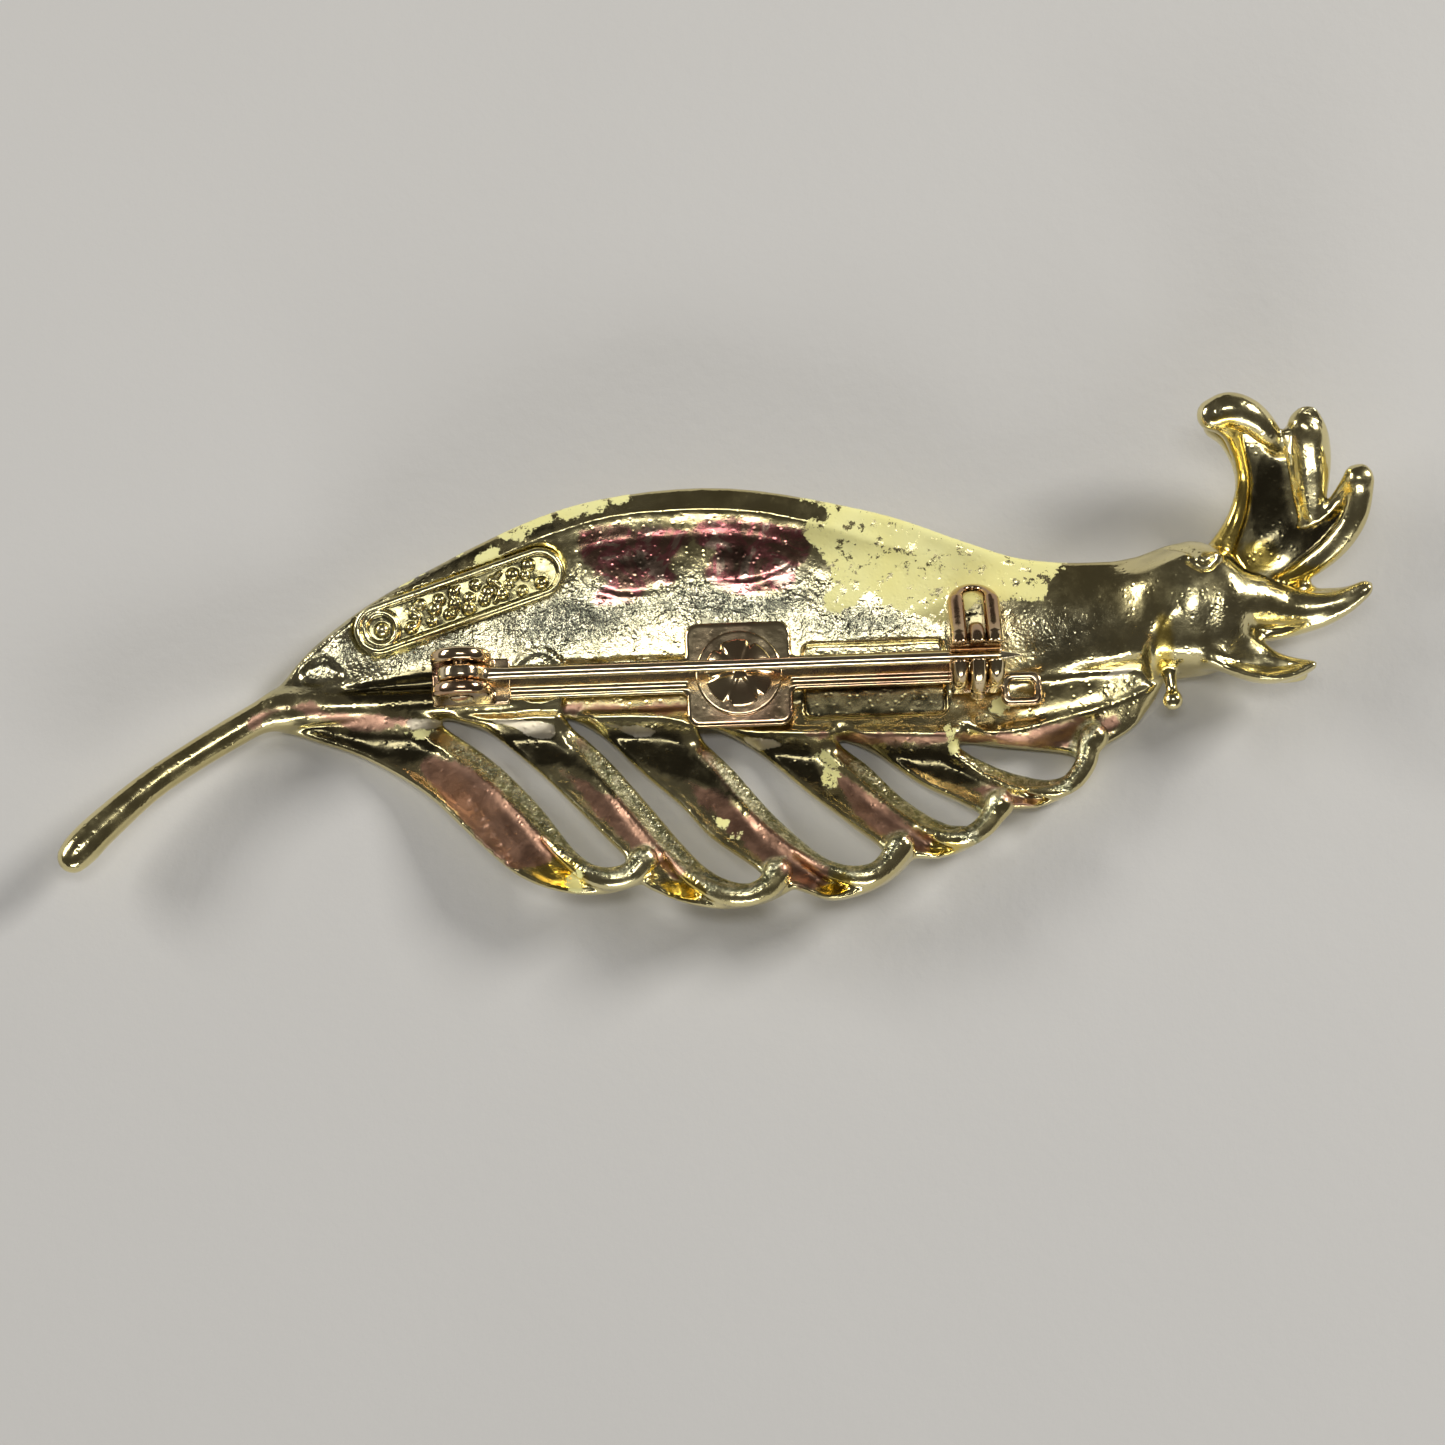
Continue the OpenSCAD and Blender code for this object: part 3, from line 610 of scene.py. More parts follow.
    field.cut(ring, 0.12, (-12, -3, 0.8), (-7.5, 1.2, 3))
    # nothing reaches below the surface that the brooch lies on
    field.value[:] = np.maximum(field.value, (LOWEST - field.axes[2])[None, None, :].astype(np.float32))
    field.cut(panel((7.5, -0.35), (3.9, 2.05), 0.5), 0.15, (3.5, -4.5, 0.5), (13.5, 2, 3))
    field.cut(panel((-6.2, -0.15), (3.6, 1.45), 0.44), 0.15, (-9.5, -4.5, 0.5), (0, 2, 3))
    return field


def tag_place(start):
    lean = Matrix.Rotation(math.radians(TAG_LEAN), 4, "X")
    turn = Matrix.Rotation(math.radians(TAG_TURN), 4, "Z")
    seat = Matrix.Translation((*TAG_AT, float(back_at(TAG_AT[1]))))
    return start @ seat @ lean @ turn @ Matrix.Translation((0, 0, -TAG_SUNK))


def on_tag(x, y, z):
    """Casting coordinates turned to the tag's own axes."""
    m = tag_place(Matrix.Identity(4)).inverted()
    return [m[i][0] * x + m[i][1] * y + m[i][2] * z + m[i][3] for i in range(3)]


def tag_edge(x, y):
    """Distance from the tag's outline, a stadium."""
    return np.hypot(np.maximum(np.abs(x) - TAG_LEN / 2, 0), y) - TAG_W / 2


# Places where the bright plating has turned to a flat pale yellow, as outlines.
FLAKES = [
    [(2.8, 9.9), (4, 9.2), (5, 8.7), (6, 8.3), (6.2, 7.6), (5, 7.3), (5.2, 6.4), (6, 5.6), (6.4, 4.2),
     (6, 3.2), (6.4, 2.5), (7.6, 2.8), (8.6, 3.6), (9.8, 2.8), (11, 2.3), (12.4, 2), (13.4, 2.6), (15, 3),
     (16.6, 3.2), (17.8, 3), (18.4, 3.6), (18.7, 4.6), (19.4, 5.4), (16, 6.5), (10, 8.6)],
    [(-12.4, 7), (-11, 6.4), (-10, 7), (-9.2, 7.4), (-9.4, 8.2), (-11.6, 7.8)],
    [(-9.2, 8.6), (-8.4, 7.7), (-7.5, 7.8), (-6, 8.2), (-4.8, 8.8), (-5, 9.8), (-7.4, 9.6)],
    [(-13.3, 5.4), (-12.4, 4.9), (-11.8, 5.5), (-12.3, 6.1)],
    [(-18.8, 3.8), (-17.6, 4), (-15.6, 5.2), (-13, 6.6), (-13.2, 7), (-16.4, 5.5)],
    [(5.6, -5.2), (6.5, -5.4), (6.8, -6.4), (6.4, -7.3), (6, -6.9), (6, -6)],
    [(12.6, -3.9), (13.4, -4), (13.4, -5.2), (12.9, -5.3)],
    [(15.4, -2.2), (16.4, -2.4), (16, -3.1), (15.2, -3)],
    [(0.1, -9.1), (0.6, -9.2), (0.5, -9.7), (0.1, -9.6)],
    [(0.8, -9.9), (1.3, -9.9), (1.3, -10.4), (0.8, -10.3)],
    [(-8.1, -12.5), (-7.4, -12.3), (-7.3, -13.5), (-8.1, -13.4)],
    [(-17.2, -4.2), (-16.4, -4), (-15.6, -4.1), (-16.4, -4.5)]]
# Painted pinkish-brown reflections on the ribs and along the ridge, as outlines.
PINK_REFLECTIONS = [
    [(-16.6, -6.1), (-15.6, -5.4), (-13.6, -6), (-11.8, -7.4), (-10.2, -9.1), (-8.9, -11), (-9.6, -11.9),
     (-11.4, -11.9), (-13, -10.3), (-15, -8)],
    [(-8.9, -6.1), (-7.2, -6.6), (-5.5, -7.9), (-5.8, -6.8), (-7.6, -5), (-7.2, -4.6), (-5.2, -7.2),
     (-3.2, -9.9), (-1.6, -12), (-2.3, -12.8), (-3.6, -11.4), (-5, -10.6), (-7, -8.3)],
    [(-1.8, -6.7), (0, -7.4), (1.8, -8.7), (0.4, -6.9), (-1.4, -4.9), (-0.6, -4.9), (1.6, -7.6),
     (4.4, -10.4), (6.2, -12), (5.8, -13.4), (4.6, -13.3), (3, -12), (1, -10.2), (-0.6, -8.4)],
    [(6.8, -6.4), (8.4, -7.6), (10.4, -9.4), (11.8, -10.2), (11.6, -11.2), (10.2, -10.7), (8.4, -9.4),
     (7, -7.8)],
    [(13.8, -7.3), (15, -7), (16.6, -7.6), (18, -7.9), (17.4, -8.4), (15.4, -8.2)],
    [(13.6, -4.2), (16.6, -4.2), (19.4, -3.6), (22, -3.2), (22.2, -3.8), (20, -4.9), (16.6, -4.9),
     (13.6, -4.7)],
    [(5.2, -4.2), (9, -4.3), (12.6, -4.3), (12.4, -4.8), (8.6, -4.9), (5.4, -4.5)],
    [(-25.6, -3.5), (-23, -2.6), (-20.4, -3.1), (-17, -3.5), (-18.6, -4), (-21, -3.9), (-23.4, -3.2),
     (-25.4, -4.1)],
    [(-8.2, -2.6), (-5, -2.5), (-1.6, -2.6), (-1.8, -3), (-5, -3.1), (-8, -3)]]
# Painted red, brown and salmon reflection streaks on the upper lobe, as outlines.
RED_REFLECTIONS = [
    [(-7.5, 6.8), (-5.6, 7.1), (-2, 7.1), (-1.6, 6.2), (-2.6, 5.2), (-2.2, 4.3), (-3.6, 4.1), (-4.4, 3.3),
     (-6.8, 3.1), (-6.2, 4.2), (-7.2, 5.2)],
    [(-1.2, 7.3), (1.6, 7.5), (4.3, 7.1), (5.3, 6), (4.4, 4.9), (4.2, 4), (2.2, 3.5), (0.2, 3.9), (-0.6, 4.8),
     (0, 5.8), (-1, 6.3)]]
# Painted shade and painted dark reflections, as outlines: under the catch and the bar, in the rib troughs,
# along the rim, beside the quill, on the upper lobe and inside the crown.
SHADE_AND_DARK_REFLECTIONS = [
    [(13.8, 0.8), (13.8, 3), (15, 3), (15, 0.8)],
    [(5, -3.2), (12.2, -3.1), (12.2, -1.6), (5, -1.8)],
    [(-23.6, -3.3), (-20, -4), (-17, -4.2), (-15.4, -4.9), (-16.8, -6), (-19, -5.5), (-22, -4.4)],
    [(-13.6, -4), (-9.6, -3.8), (-8.8, -4.6), (-6, -6.6), (-5.7, -7.7), (-8, -6.2), (-10, -6), (-11.6, -5)],
    [(-6.4, -4), (-2.4, -4), (-1.6, -4.8), (0.8, -7.2), (1.6, -8.4), (-0.6, -7.2), (-2.6, -6.7),
     (-4.6, -5.6)],
    [(0.8, -4.4), (4.6, -4.6), (5.6, -5.6), (6, -7.4), (7, -7.7), (6.2, -8), (4.4, -6.6)],
    [(8.2, -4.9), (12.4, -5), (14, -6.2), (15, -7), (13.4, -7.2), (11, -6.4)],
    [(-18.4, 3.4), (-15.5, 4.6), (-13.4, 5.6), (-9.8, 6.8), (-7.8, 7.3), (-9, 7.4), (-12.4, 6.4),
     (-15, 5.4), (-18, 4)],
    [(-20.8, -2), (-18.6, -1.1), (-15.6, -0.4), (-15.6, -2.9), (-18.4, -2.8)],
    [(0.2, 6), (1.6, 6.2), (2.2, 5.2), (1.2, 4.6), (0.2, 5)],
    [(-5.6, 5.6), (-3.6, 5.9), (-3.2, 5.2), (-5, 4.9)],
    [(29.9, 10.8), (31.2, 11.2), (31.6, 9.6), (32, 8), (33, 7), (34.6, 8), (34.2, 6.6), (32.4, 5.4),
     (30.4, 6.2), (29.8, 7.4), (29.8, 9)]]

# Saturated yellow places, partly deeper yellow plating and partly painted yellow highlights, on the first
# petal, in the crown's hollows, at the collar and at the rib tips, as outlines.
AMBER_GLINTS_AND_PLATING = [
    [(27.4, 5.8), (28.4, 7.6), (28.6, 9.4), (28, 11.4), (27.2, 12.2), (28.4, 12.2), (29.4, 10.8),
     (29.7, 8.8), (29.3, 6.6), (29.2, 5.2)],
    [(28.8, 5.2), (29.6, 6.6), (31, 6.6), (31.4, 5.4), (30, 4.6)],
    [(31, 5), (33.2, 4.9), (33.6, 4.3), (32.2, 3.9), (30.8, 4.2)],
    [(24.2, 1.6), (25, 1.2), (25, -1.2), (24.2, -1)],
    [(-10, -11.6), (-7.4, -11.8), (-7.2, -13.3), (-9.6, -13)],
    [(-2.7, -12.6), (-1, -12.8), (-0.6, -13.8), (-2.6, -13.9)],
    [(5.6, -12.8), (7.2, -12.6), (7.4, -13.3), (5.8, -13.6)],
    [(11.6, -10.6), (13.2, -10.6), (13, -11.2), (11.6, -11.2)]]
# Pale cream smears along the ridge, as outlines.
SMEARS = [
    [(-17, -3.6), (-15.8, -3.4), (-15, -3.5), (-15.8, -3.9), (-16.8, -3.9)],
    [(-12.4, -3.5), (-10.4, -3.5), (-9, -3.8), (-9.2, -4.4), (-10.4, -4.3), (-11, -3.9)],
    [(-6.4, -3.6), (-4.6, -3.7), (-3.3, -4), (-4, -4.4), (-5.2, -4.1)],
    [(1.6, -4.5), (3.2, -4.6), (3.6, -4.9), (2.4, -5)],
    [(21.4, -1.2), (22.8, -0.9), (23.4, -0.5), (22.4, -0.6)]]
# Pitted places: centre, half length and width, turn and strength.
PITTED = [(-17, 0.8, 6, 1.9, 8, 0.9), (-8, 2.2, 6, 2, 10, 1.0), (1, 3.2, 6, 1.6, 0, 1.0),
          (8, 2, 5, 1.3, 0, 0.8), (-22, -1, 2.4, 1.2, 20, 0.5), (3, 4, 3, 1.6, 0, 0.8),
          (19, 1.2, 3, 1.6, 0, 0.45), (27.6, 1.2, 2.2, 1.6, 0, 0.2)]


def casting_layers(points, normals):
    """Masks of worn places and of painted reflections, shade and highlights for the plating: millimetres
    inside the outlines, and amounts from 0 to 1 of the others.
    """
    x, y = points[:, 0], points[:, 1]
    back = smooth_step(normals[:, 2], 0.0, 0.3)
    layers = {}
    for name, outlines in (("flake", FLAKES), ("pink_reflection", PINK_REFLECTIONS), ("red_reflection", RED_REFLECTIONS),
                           ("painted_shade", SHADE_AND_DARK_REFLECTIONS), ("amber_glint_and_plating", AMBER_GLINTS_AND_PLATING), ("smear", SMEARS)):
        depth = np.full(len(x), -2.0)
        for outline in outlines:
            depth = np.maximum(depth, -patch_distance(outline, x, y))
        layers[name] = np.clip(depth - 3 * (1 - back), -2, 1)
    pitted = np.zeros(len(x))
    for px, py, long, wide, turn, most in PITTED:
        u, v = turned(x, y, (px, py), turn)
        pitted = np.maximum(pitted, most * np.exp(-((u / long) ** 2 + (v / wide) ** 2)))
    # the faces beside the slots, which get a painted speckled highlight
    face = np.zeros(len(x))
    for crest in CRESTS + ROLLS:
        off, along = line_distance(curve(crest), x, y)
        beside = smooth_step(off, 0.02, 0.15) * smooth_step(off, 1.2, 0.9)
        face = np.maximum(face, beside * smooth_step(along, 0.1, 0.25))
    # pits fade out under the painted reflections and painted shade
    painted_light_patch = np.max([layers[name] for name in ("pink_reflection", "red_reflection", "painted_shade")], axis=0)
    layers["pitted"] = pitted * back * (1 - smooth_step(painted_light_patch, -0.4, 0.3))
    layers["face"] = face * smooth_step(normals[:, 2], -0.3, 0.0)
    return layers


# ---------------------------------------------------------------- findings

def build_tag():
    """Stadium-shaped tag with a rim, a ring and a plain beaded ornament, in the tag's own axes."""
    field = Field((-6.4, -1.7, -0.15), (6.4, 1.7, 1.15), 0.06)
    field.add(lambda x, y, z: blend_max(blend_max(tag_edge(x, y), z - 0.95, 0.25), -z, 0.1))
    ground = lambda x, y: 0.66 + 0.03 * np.sin(3 * x) * np.cos(2 * y)
    field.cut(lambda x, y, z: blend_max(tag_edge(x, y) + 0.38, ground(x, y) - z, 0.12), 0.12)
    field.add(lambda x, y, z: np.hypot(np.hypot(x + TAG_LEN / 2 - 0.1, y) - 0.9, z - 0.72) - 0.18, 0.1)
    dot = lambda x, y, z, at, tall: np.sqrt((x - at[0]) ** 2 + (y - at[1]) ** 2 + ((z - at[2]) * tall) ** 2)
    field.add(lambda x, y, z: dot(x, y, z, (0.15 - TAG_LEN / 2, -0.08, 0.6), 1.2) - 0.4, 0.08)
    # plain ornament: beads of many sizes and short wavy ridges
    pick = np.random.default_rng(11)
    for i in range(22):
        bx = -2.9 + 0.36 * i + pick.uniform(-0.1, 0.1)
        by = (-0.52, 0.04, 0.5)[i * 7 % 3] + pick.uniform(-0.12, 0.12)
        size, tall = pick.uniform(0.24, 0.38), pick.uniform(1.0, 1.4)
        field.add(lambda x, y, z: dot(x, y, z, (bx, by, 0.64), tall) - size, 0.08)
    for x0 in (-2.9, -0.6, 1.9):
        field.tube([(x0, -0.7, 0.66), (x0 + 0.5, -0.1, 0.72), (x0 + 0.3, 0.4, 0.72), (x0 + 0.8, 0.75, 0.66)],
                   [0.1, 0.14, 0.14, 0.1], 0.08)
    return field


def tag_layers(points, normals):
    """The low ground between the beads."""
    rim = tag_edge(points[:, 0], points[:, 1])
    return {"sunk": smooth_step(points[:, 2], 0.8, 0.68) * smooth_step(-rim, 0.3, 0.4)}


def build_bar():
    field = Field((-17.2, -3.3, 1.85), (15.1, 3.3, 2.75), 0.07)

    def shape(x, y, z):
        strip = box_distance(x - 0.05, y, 14.65, 0.95, 0.2)
        end = np.hypot(x + 15.9, y) - 0.95
        left = np.maximum(np.abs(y) - 0.95, np.maximum(-15.9 - x, x))
        pad = box_distance(x, y, PAD_HALF, PAD_HALF, 0.75)
        plan = blend_min(np.minimum(np.minimum(strip, left), end), pad, 0.35)
        mid = (BAR_Z + BAR_TOP) / 2
        return blend_max(plan, np.abs(z - mid) - 0.275, 0.3)

    field.add(shape)
    # shallow stamped line that runs along both edges
    field.cut(lambda x, y, z: np.maximum(np.hypot(np.abs(y) - 0.55, (z - BAR_TOP - 0.08) * 1.2) - 0.16,
                                         2.9 - np.abs(x)), 0.1)
    field.cut(lambda x, y, z: np.hypot(x, y) - RIVET_HOLE_R, 0.05)
    return field


def build_washer():
    field = Field((-2.7, -2.7, 2.45), (2.7, 2.7, 2.95), 0.06)
    field.add(lambda x, y, z: blend_max(np.maximum(np.hypot(x, y) - WASHER_R, RIVET_HOLE_R - np.hypot(x, y)),
                                        np.abs(z - BAR_TOP - 0.125) - 0.125, 0.14))
    return field


def build_rivet():
    field = Field((-2.3, -2.3, 0.7), (2.3, 2.3, 3.7), 0.06)
    head, rise, r = BAR_TOP + 0.25, 0.7, 2.0
    ball = (r * r + rise * rise) / (2 * rise)
    field.add(lambda x, y, z: np.maximum(np.hypot(x, y) - RIVET_R, np.maximum(0.85 - z, z - head - 0.2)))

    def dome(x, y, z):
        cap = np.sqrt(x ** 2 + y ** 2 + (z - head - rise + ball) ** 2) - ball
        return blend_max(blend_max(cap, np.hypot(x, y) - r, 0.12), head - z, 0.1)

    field.add(dome, 0.05)
    for a in range(0, 360, 60):
        c, s = math.cos(math.radians(a + 8)), math.sin(math.radians(a + 8))
        field.tube([(0.35 * c, 0.35 * s, head + rise + 0.05), (1.1 * c, 1.1 * s, head + rise - 0.02),
                    (1.95 * c, 1.95 * s, head + 0.12)], [0.1, 0.17, 0.2], 0.12, carve=True)
    field.add(lambda x, y, z: np.sqrt(x ** 2 + y ** 2 + (z - head - rise + 0.32) ** 2) - 0.42, 0.12)
    return field


def from_pivot(x, z):
    """Distance from the hinge's axis."""
    return np.hypot(x - HINGE_U, z - WIRE_Z)


def build_knuckle():
    field = Field((-17.2, -1.6, 2.4), (-12.3, 1.6, 6.8), 0.05)

    def ears(x, y, z):
        disc = from_pivot(x, z) - EAR_R
        leg = np.maximum(np.abs(x - HINGE_U) - EAR_R, np.maximum(z - WIRE_Z, BAR_TOP - z))
        side = np.abs(np.abs(y) - 0.925) - 0.37
        return blend_max(np.minimum(disc, leg), side, 0.35)

    def base(x, y, z):
        plan = box_distance(x - HINGE_U - 0.45, y, 2.14, 1.3, 0.3)
        return blend_max(plan, np.abs(z - BAR_TOP - 0.15) - 0.15, 0.12)

    field.add(ears)
    field.add(base, 0.2)
    field.cut(lambda x, y, z: from_pivot(x, z) - PIVOT_HOLE_R, 0.05)
    return field


def build_hinge_rivet():
    field = Field((-16.2, -1.75, 3.9), (-14.2, 1.75, 5.9), 0.05)
    field.add(lambda x, y, z: np.maximum(from_pivot(x, z) - PIVOT_R, np.abs(y) - 1.35))
    for s in (-1, 1):
        def head(x, y, z):
            ball = np.sqrt((x - HINGE_U) ** 2 + (z - WIRE_Z) ** 2 + (y - s * 0.1) ** 2) - 1.42
            return blend_max(blend_max(ball, from_pivot(x, z) - 0.78, 0.1), 1.3 - s * y, 0.05)
        field.add(head, 0.03)
    return field


def build_stem():
    """The wire with its eye and its point."""
    field = Field((-16.7, -0.65, 3.4), (15.8, 0.65, 6.4), 0.06)
    field.add(lambda x, y, z: blend_max(from_pivot(x, z) - EYE_R, np.abs(y) - 0.43, 0.3))
    field.tube([(HINGE_U + 0.2, 0, WIRE_Z), (-13.9, 0, WIRE_Z), (-12.9, 0, WIRE_Z), (11.3, 0, WIRE_Z),
                (14.3, 0, WIRE_Z), (15.45, 0, WIRE_Z)],
               [0.42, 0.41, WIRE_R, WIRE_R, 0.29, 0.05], 0.3, steps=1)
    field.cut(lambda x, y, z: from_pivot(x, z) - PIVOT_HOLE_R, 0.05)
    return field


def build_housing():
    bend, cheek_t, foot_t, foot = 0.5, 0.95, 0.6, 4.6
    half = bend + cheek_t
    field = Field((11.3, -2.6, 2.4), (16.9, 4.8, 6.95), 0.055)

    def shape(x, y, z):
        u = x - CATCH_U
        # seen from above: a U whose bend is the foot
        outer = np.hypot(u, np.maximum(y - (foot - half), 0)) - half
        inner = np.hypot(u, np.maximum(y - (foot - foot_t - bend), 0)) - bend
        plan = np.maximum(outer, -inner)
        # seen from the side: a round head that slopes down to the foot
        disc = np.hypot(y, z - WIRE_Z) - 1.83
        cheek = np.array([(-1.83, WIRE_Z), (-1.6, BAR_TOP), (foot, BAR_TOP), (foot, BAR_TOP + 0.72),
                          (3.6, BAR_TOP + 2), (1.2, WIRE_Z + 1.38)])
        wedge = outline_distance(cheek, y[0], z[0])[None]
        side = blend_min(np.broadcast_to(disc, (1, *disc.shape[1:])), wedge, 0.15)
        return blend_max(plan, side, 0.6)

    field.add(shape)
    field.add(lambda x, y, z: blend_max(box_distance(x - CATCH_U, y - 0.1, half - 0.02, 1.68, 0.3),
                                        np.abs(z - BAR_TOP - 0.15) - 0.15, 0.12), 0.05)

    def loop(x, y, z):
        u, v = x - CATCH_U - 2.5, y + 1.5
        ring = np.maximum(box_distance(u, v, 1.13, 0.93, 0.5), -box_distance(u, v, 0.65, 0.48, 0.25))
        return blend_max(ring, np.abs(z - BAR_TOP - 0.3) - 0.3, 0.22)

    field.add(loop, 0.1)
    field.cut(lambda x, y, z: np.hypot(y, z - WIRE_Z) - SLEEVE_HOLE_R + 0 * x, 0.06)
    field.cut(lambda x, y, z: np.maximum(np.abs(y) - WIRE_GAP, WIRE_Z - z) + 0 * x, 0.12)
    field.value[:] = np.maximum(field.value, (BAR_TOP - field.axes[2])[None, None, :].astype(np.float32))
    return field


def build_lever():
    field = Field((11.4, -2.6, 2.8), (14.6, 2.1, 7.0), 0.05)

    def shape(x, y, z):
        u, w = x - CATCH_U, z - WIRE_Z
        sleeve = blend_max(np.hypot(y, w) - SLEEVE_R, np.abs(u) - 1.44, 0.1)
        thumb = [(-0.2, 1.84), (-1.1, 1.6), (-1.8, 1.0), (-2.3, 0.1), (-2.34, -0.45), (-2.05, -0.75),
                 (-1.6, -0.75), (-0.8, -0.4)]
        tab = patch_distance(thumb, y[0], w[0])[None]
        disc = np.hypot(y, w) - 1.89
        blade = blend_max(blend_min(disc + 0 * u, tab + 0 * u, 0.25), np.abs(u) - 0.42, 0.42)
        # ribbed thumb face
        grooves = 0.05 * np.maximum(np.cos(5.5 * (w - 0.2)), 0) * smooth_step(-y, 1.6, 2.0)
        return np.minimum(sleeve, blade + grooves)

    field.add(shape)
    field.cut(lambda x, y, z: np.hypot(y, z - WIRE_Z) - WIRE_HOLE_R + 0 * x, 0.05)
    field.cut(lambda x, y, z: np.maximum(np.abs(y) - WIRE_GAP, WIRE_Z - z) + 0 * x, 0.1)
    return field


# ---------------------------------------------------------------- materials

class Nodes:
    """Short-hand for building a material's nodes."""

    def __init__(self, name):
        self.material = bpy.data.materials.new(name)
        self.material.use_nodes = True
        self.tree = self.material.node_tree
        self.shader = self.tree.nodes["Principled BSDF"]
        self.place = self.make("ShaderNodeTexCoord").outputs["Object"]

    def make(self, kind, **settings):
        node = self.tree.nodes.new(kind)
        for key, value in settings.items():
            setattr(node, key, value)
        return node

    def link(self, source, socket):
        if hasattr(source, "is_output"):
            self.tree.links.new(source, socket)
        else:
            socket.default_value = source

    def noise(self, scale, detail=3.0, rough=0.55, distort=0.0):
        node = self.make("ShaderNodeTexNoise")
        self.link(self.place, node.inputs["Vector"])
        for key, value in zip(("Scale", "Detail", "Roughness", "Distortion"),
                              (scale, detail, rough, distort)):
            node.inputs[key].default_value = value
        return node.outputs["Fac"]

    def cells(self, scale):
        node = self.make("ShaderNodeTexVoronoi")
        self.link(self.place, node.inputs["Vector"])
        node.inputs["Scale"].default_value = scale
        return node.outputs["Distance"]

    def math(self, operation, a, b=0.0, c=0.0):
        node = self.make("ShaderNodeMath", operation=operation)
        for value, socket in zip((a, b, c), node.inputs):
            self.link(value, socket)
        return node.outputs[0]

    def ramp(self, value, low, high, to_low=0.0, to_high=1.0):
        node = self.make("ShaderNodeMapRange", clamp=True, interpolation_type="SMOOTHSTEP")
        for key, source in zip(("Value", "From Min", "From Max", "To Min", "To Max"),
                               (value, low, high, to_low, to_high)):
            self.link(source, node.inputs[key])
        return node.outputs["Result"]

    def mix(self, factor, a, b):
        node = self.make("ShaderNodeMix", data_type="RGBA")
        self.link(factor, node.inputs["Factor"])
        for value, socket in ((a, node.inputs[6]), (b, node.inputs[7])):
            self.link(value if hasattr(value, "is_output") else (*value, 1), socket)
        return node.outputs[2]

    def layer(self, name):
        return self.make("ShaderNodeAttribute", attribute_name=name).outputs["Fac"]

    def bump(self, height, distance, strength=1.0, under=None):
        node = self.make("ShaderNodeBump")
        node.inputs["Distance"].default_value = distance
        node.inputs["Strength"].default_value = strength
        self.link(height, node.inputs["Height"])
        if under is not None:
            self.link(under, node.inputs["Normal"])
        return node.outputs["Normal"]


# Colours: the rose, plum, brown, red and salmon tones are painted reflections, the deep yellow is partly a
# painted highlight, the near-black is painted shade and the pair of speck colours is a painted speckled
# highlight.
ROSE_REFLECTION, PLUM_REFLECTION, BROWN_REFLECTION, CRIMSON_REFLECTION, SALMON_REFLECTION = ((0.52, 0.28, 0.2), (0.32, 0.16, 0.12), (0.34, 0.19, 0.14),
                                      (0.54, 0.16, 0.18), (0.7, 0.48, 0.38))
AMBER_GLINT_AND_PLATING, PAINTED_SHADE_DARK, CREAM = (0.84, 0.62, 0.12), (0.06, 0.05, 0.03), (0.78, 0.7, 0.55)
SILVER, PIT, OLIVE, LOW_GROUND = (0.8, 0.79, 0.62), (0.2, 0.2, 0.14), (0.55, 0.5, 0.22), (0.28, 0.25, 0.12)
GLINT_SPECK_DARK, GLINT_SPECK_BRIGHT = (0.3, 0.31, 0.17), (0.92, 0.88, 0.58)
FLAKE_DEEP, FLAKE_PALE = (0.95, 0.87, 0.3), (1.0, 0.98, 0.5)


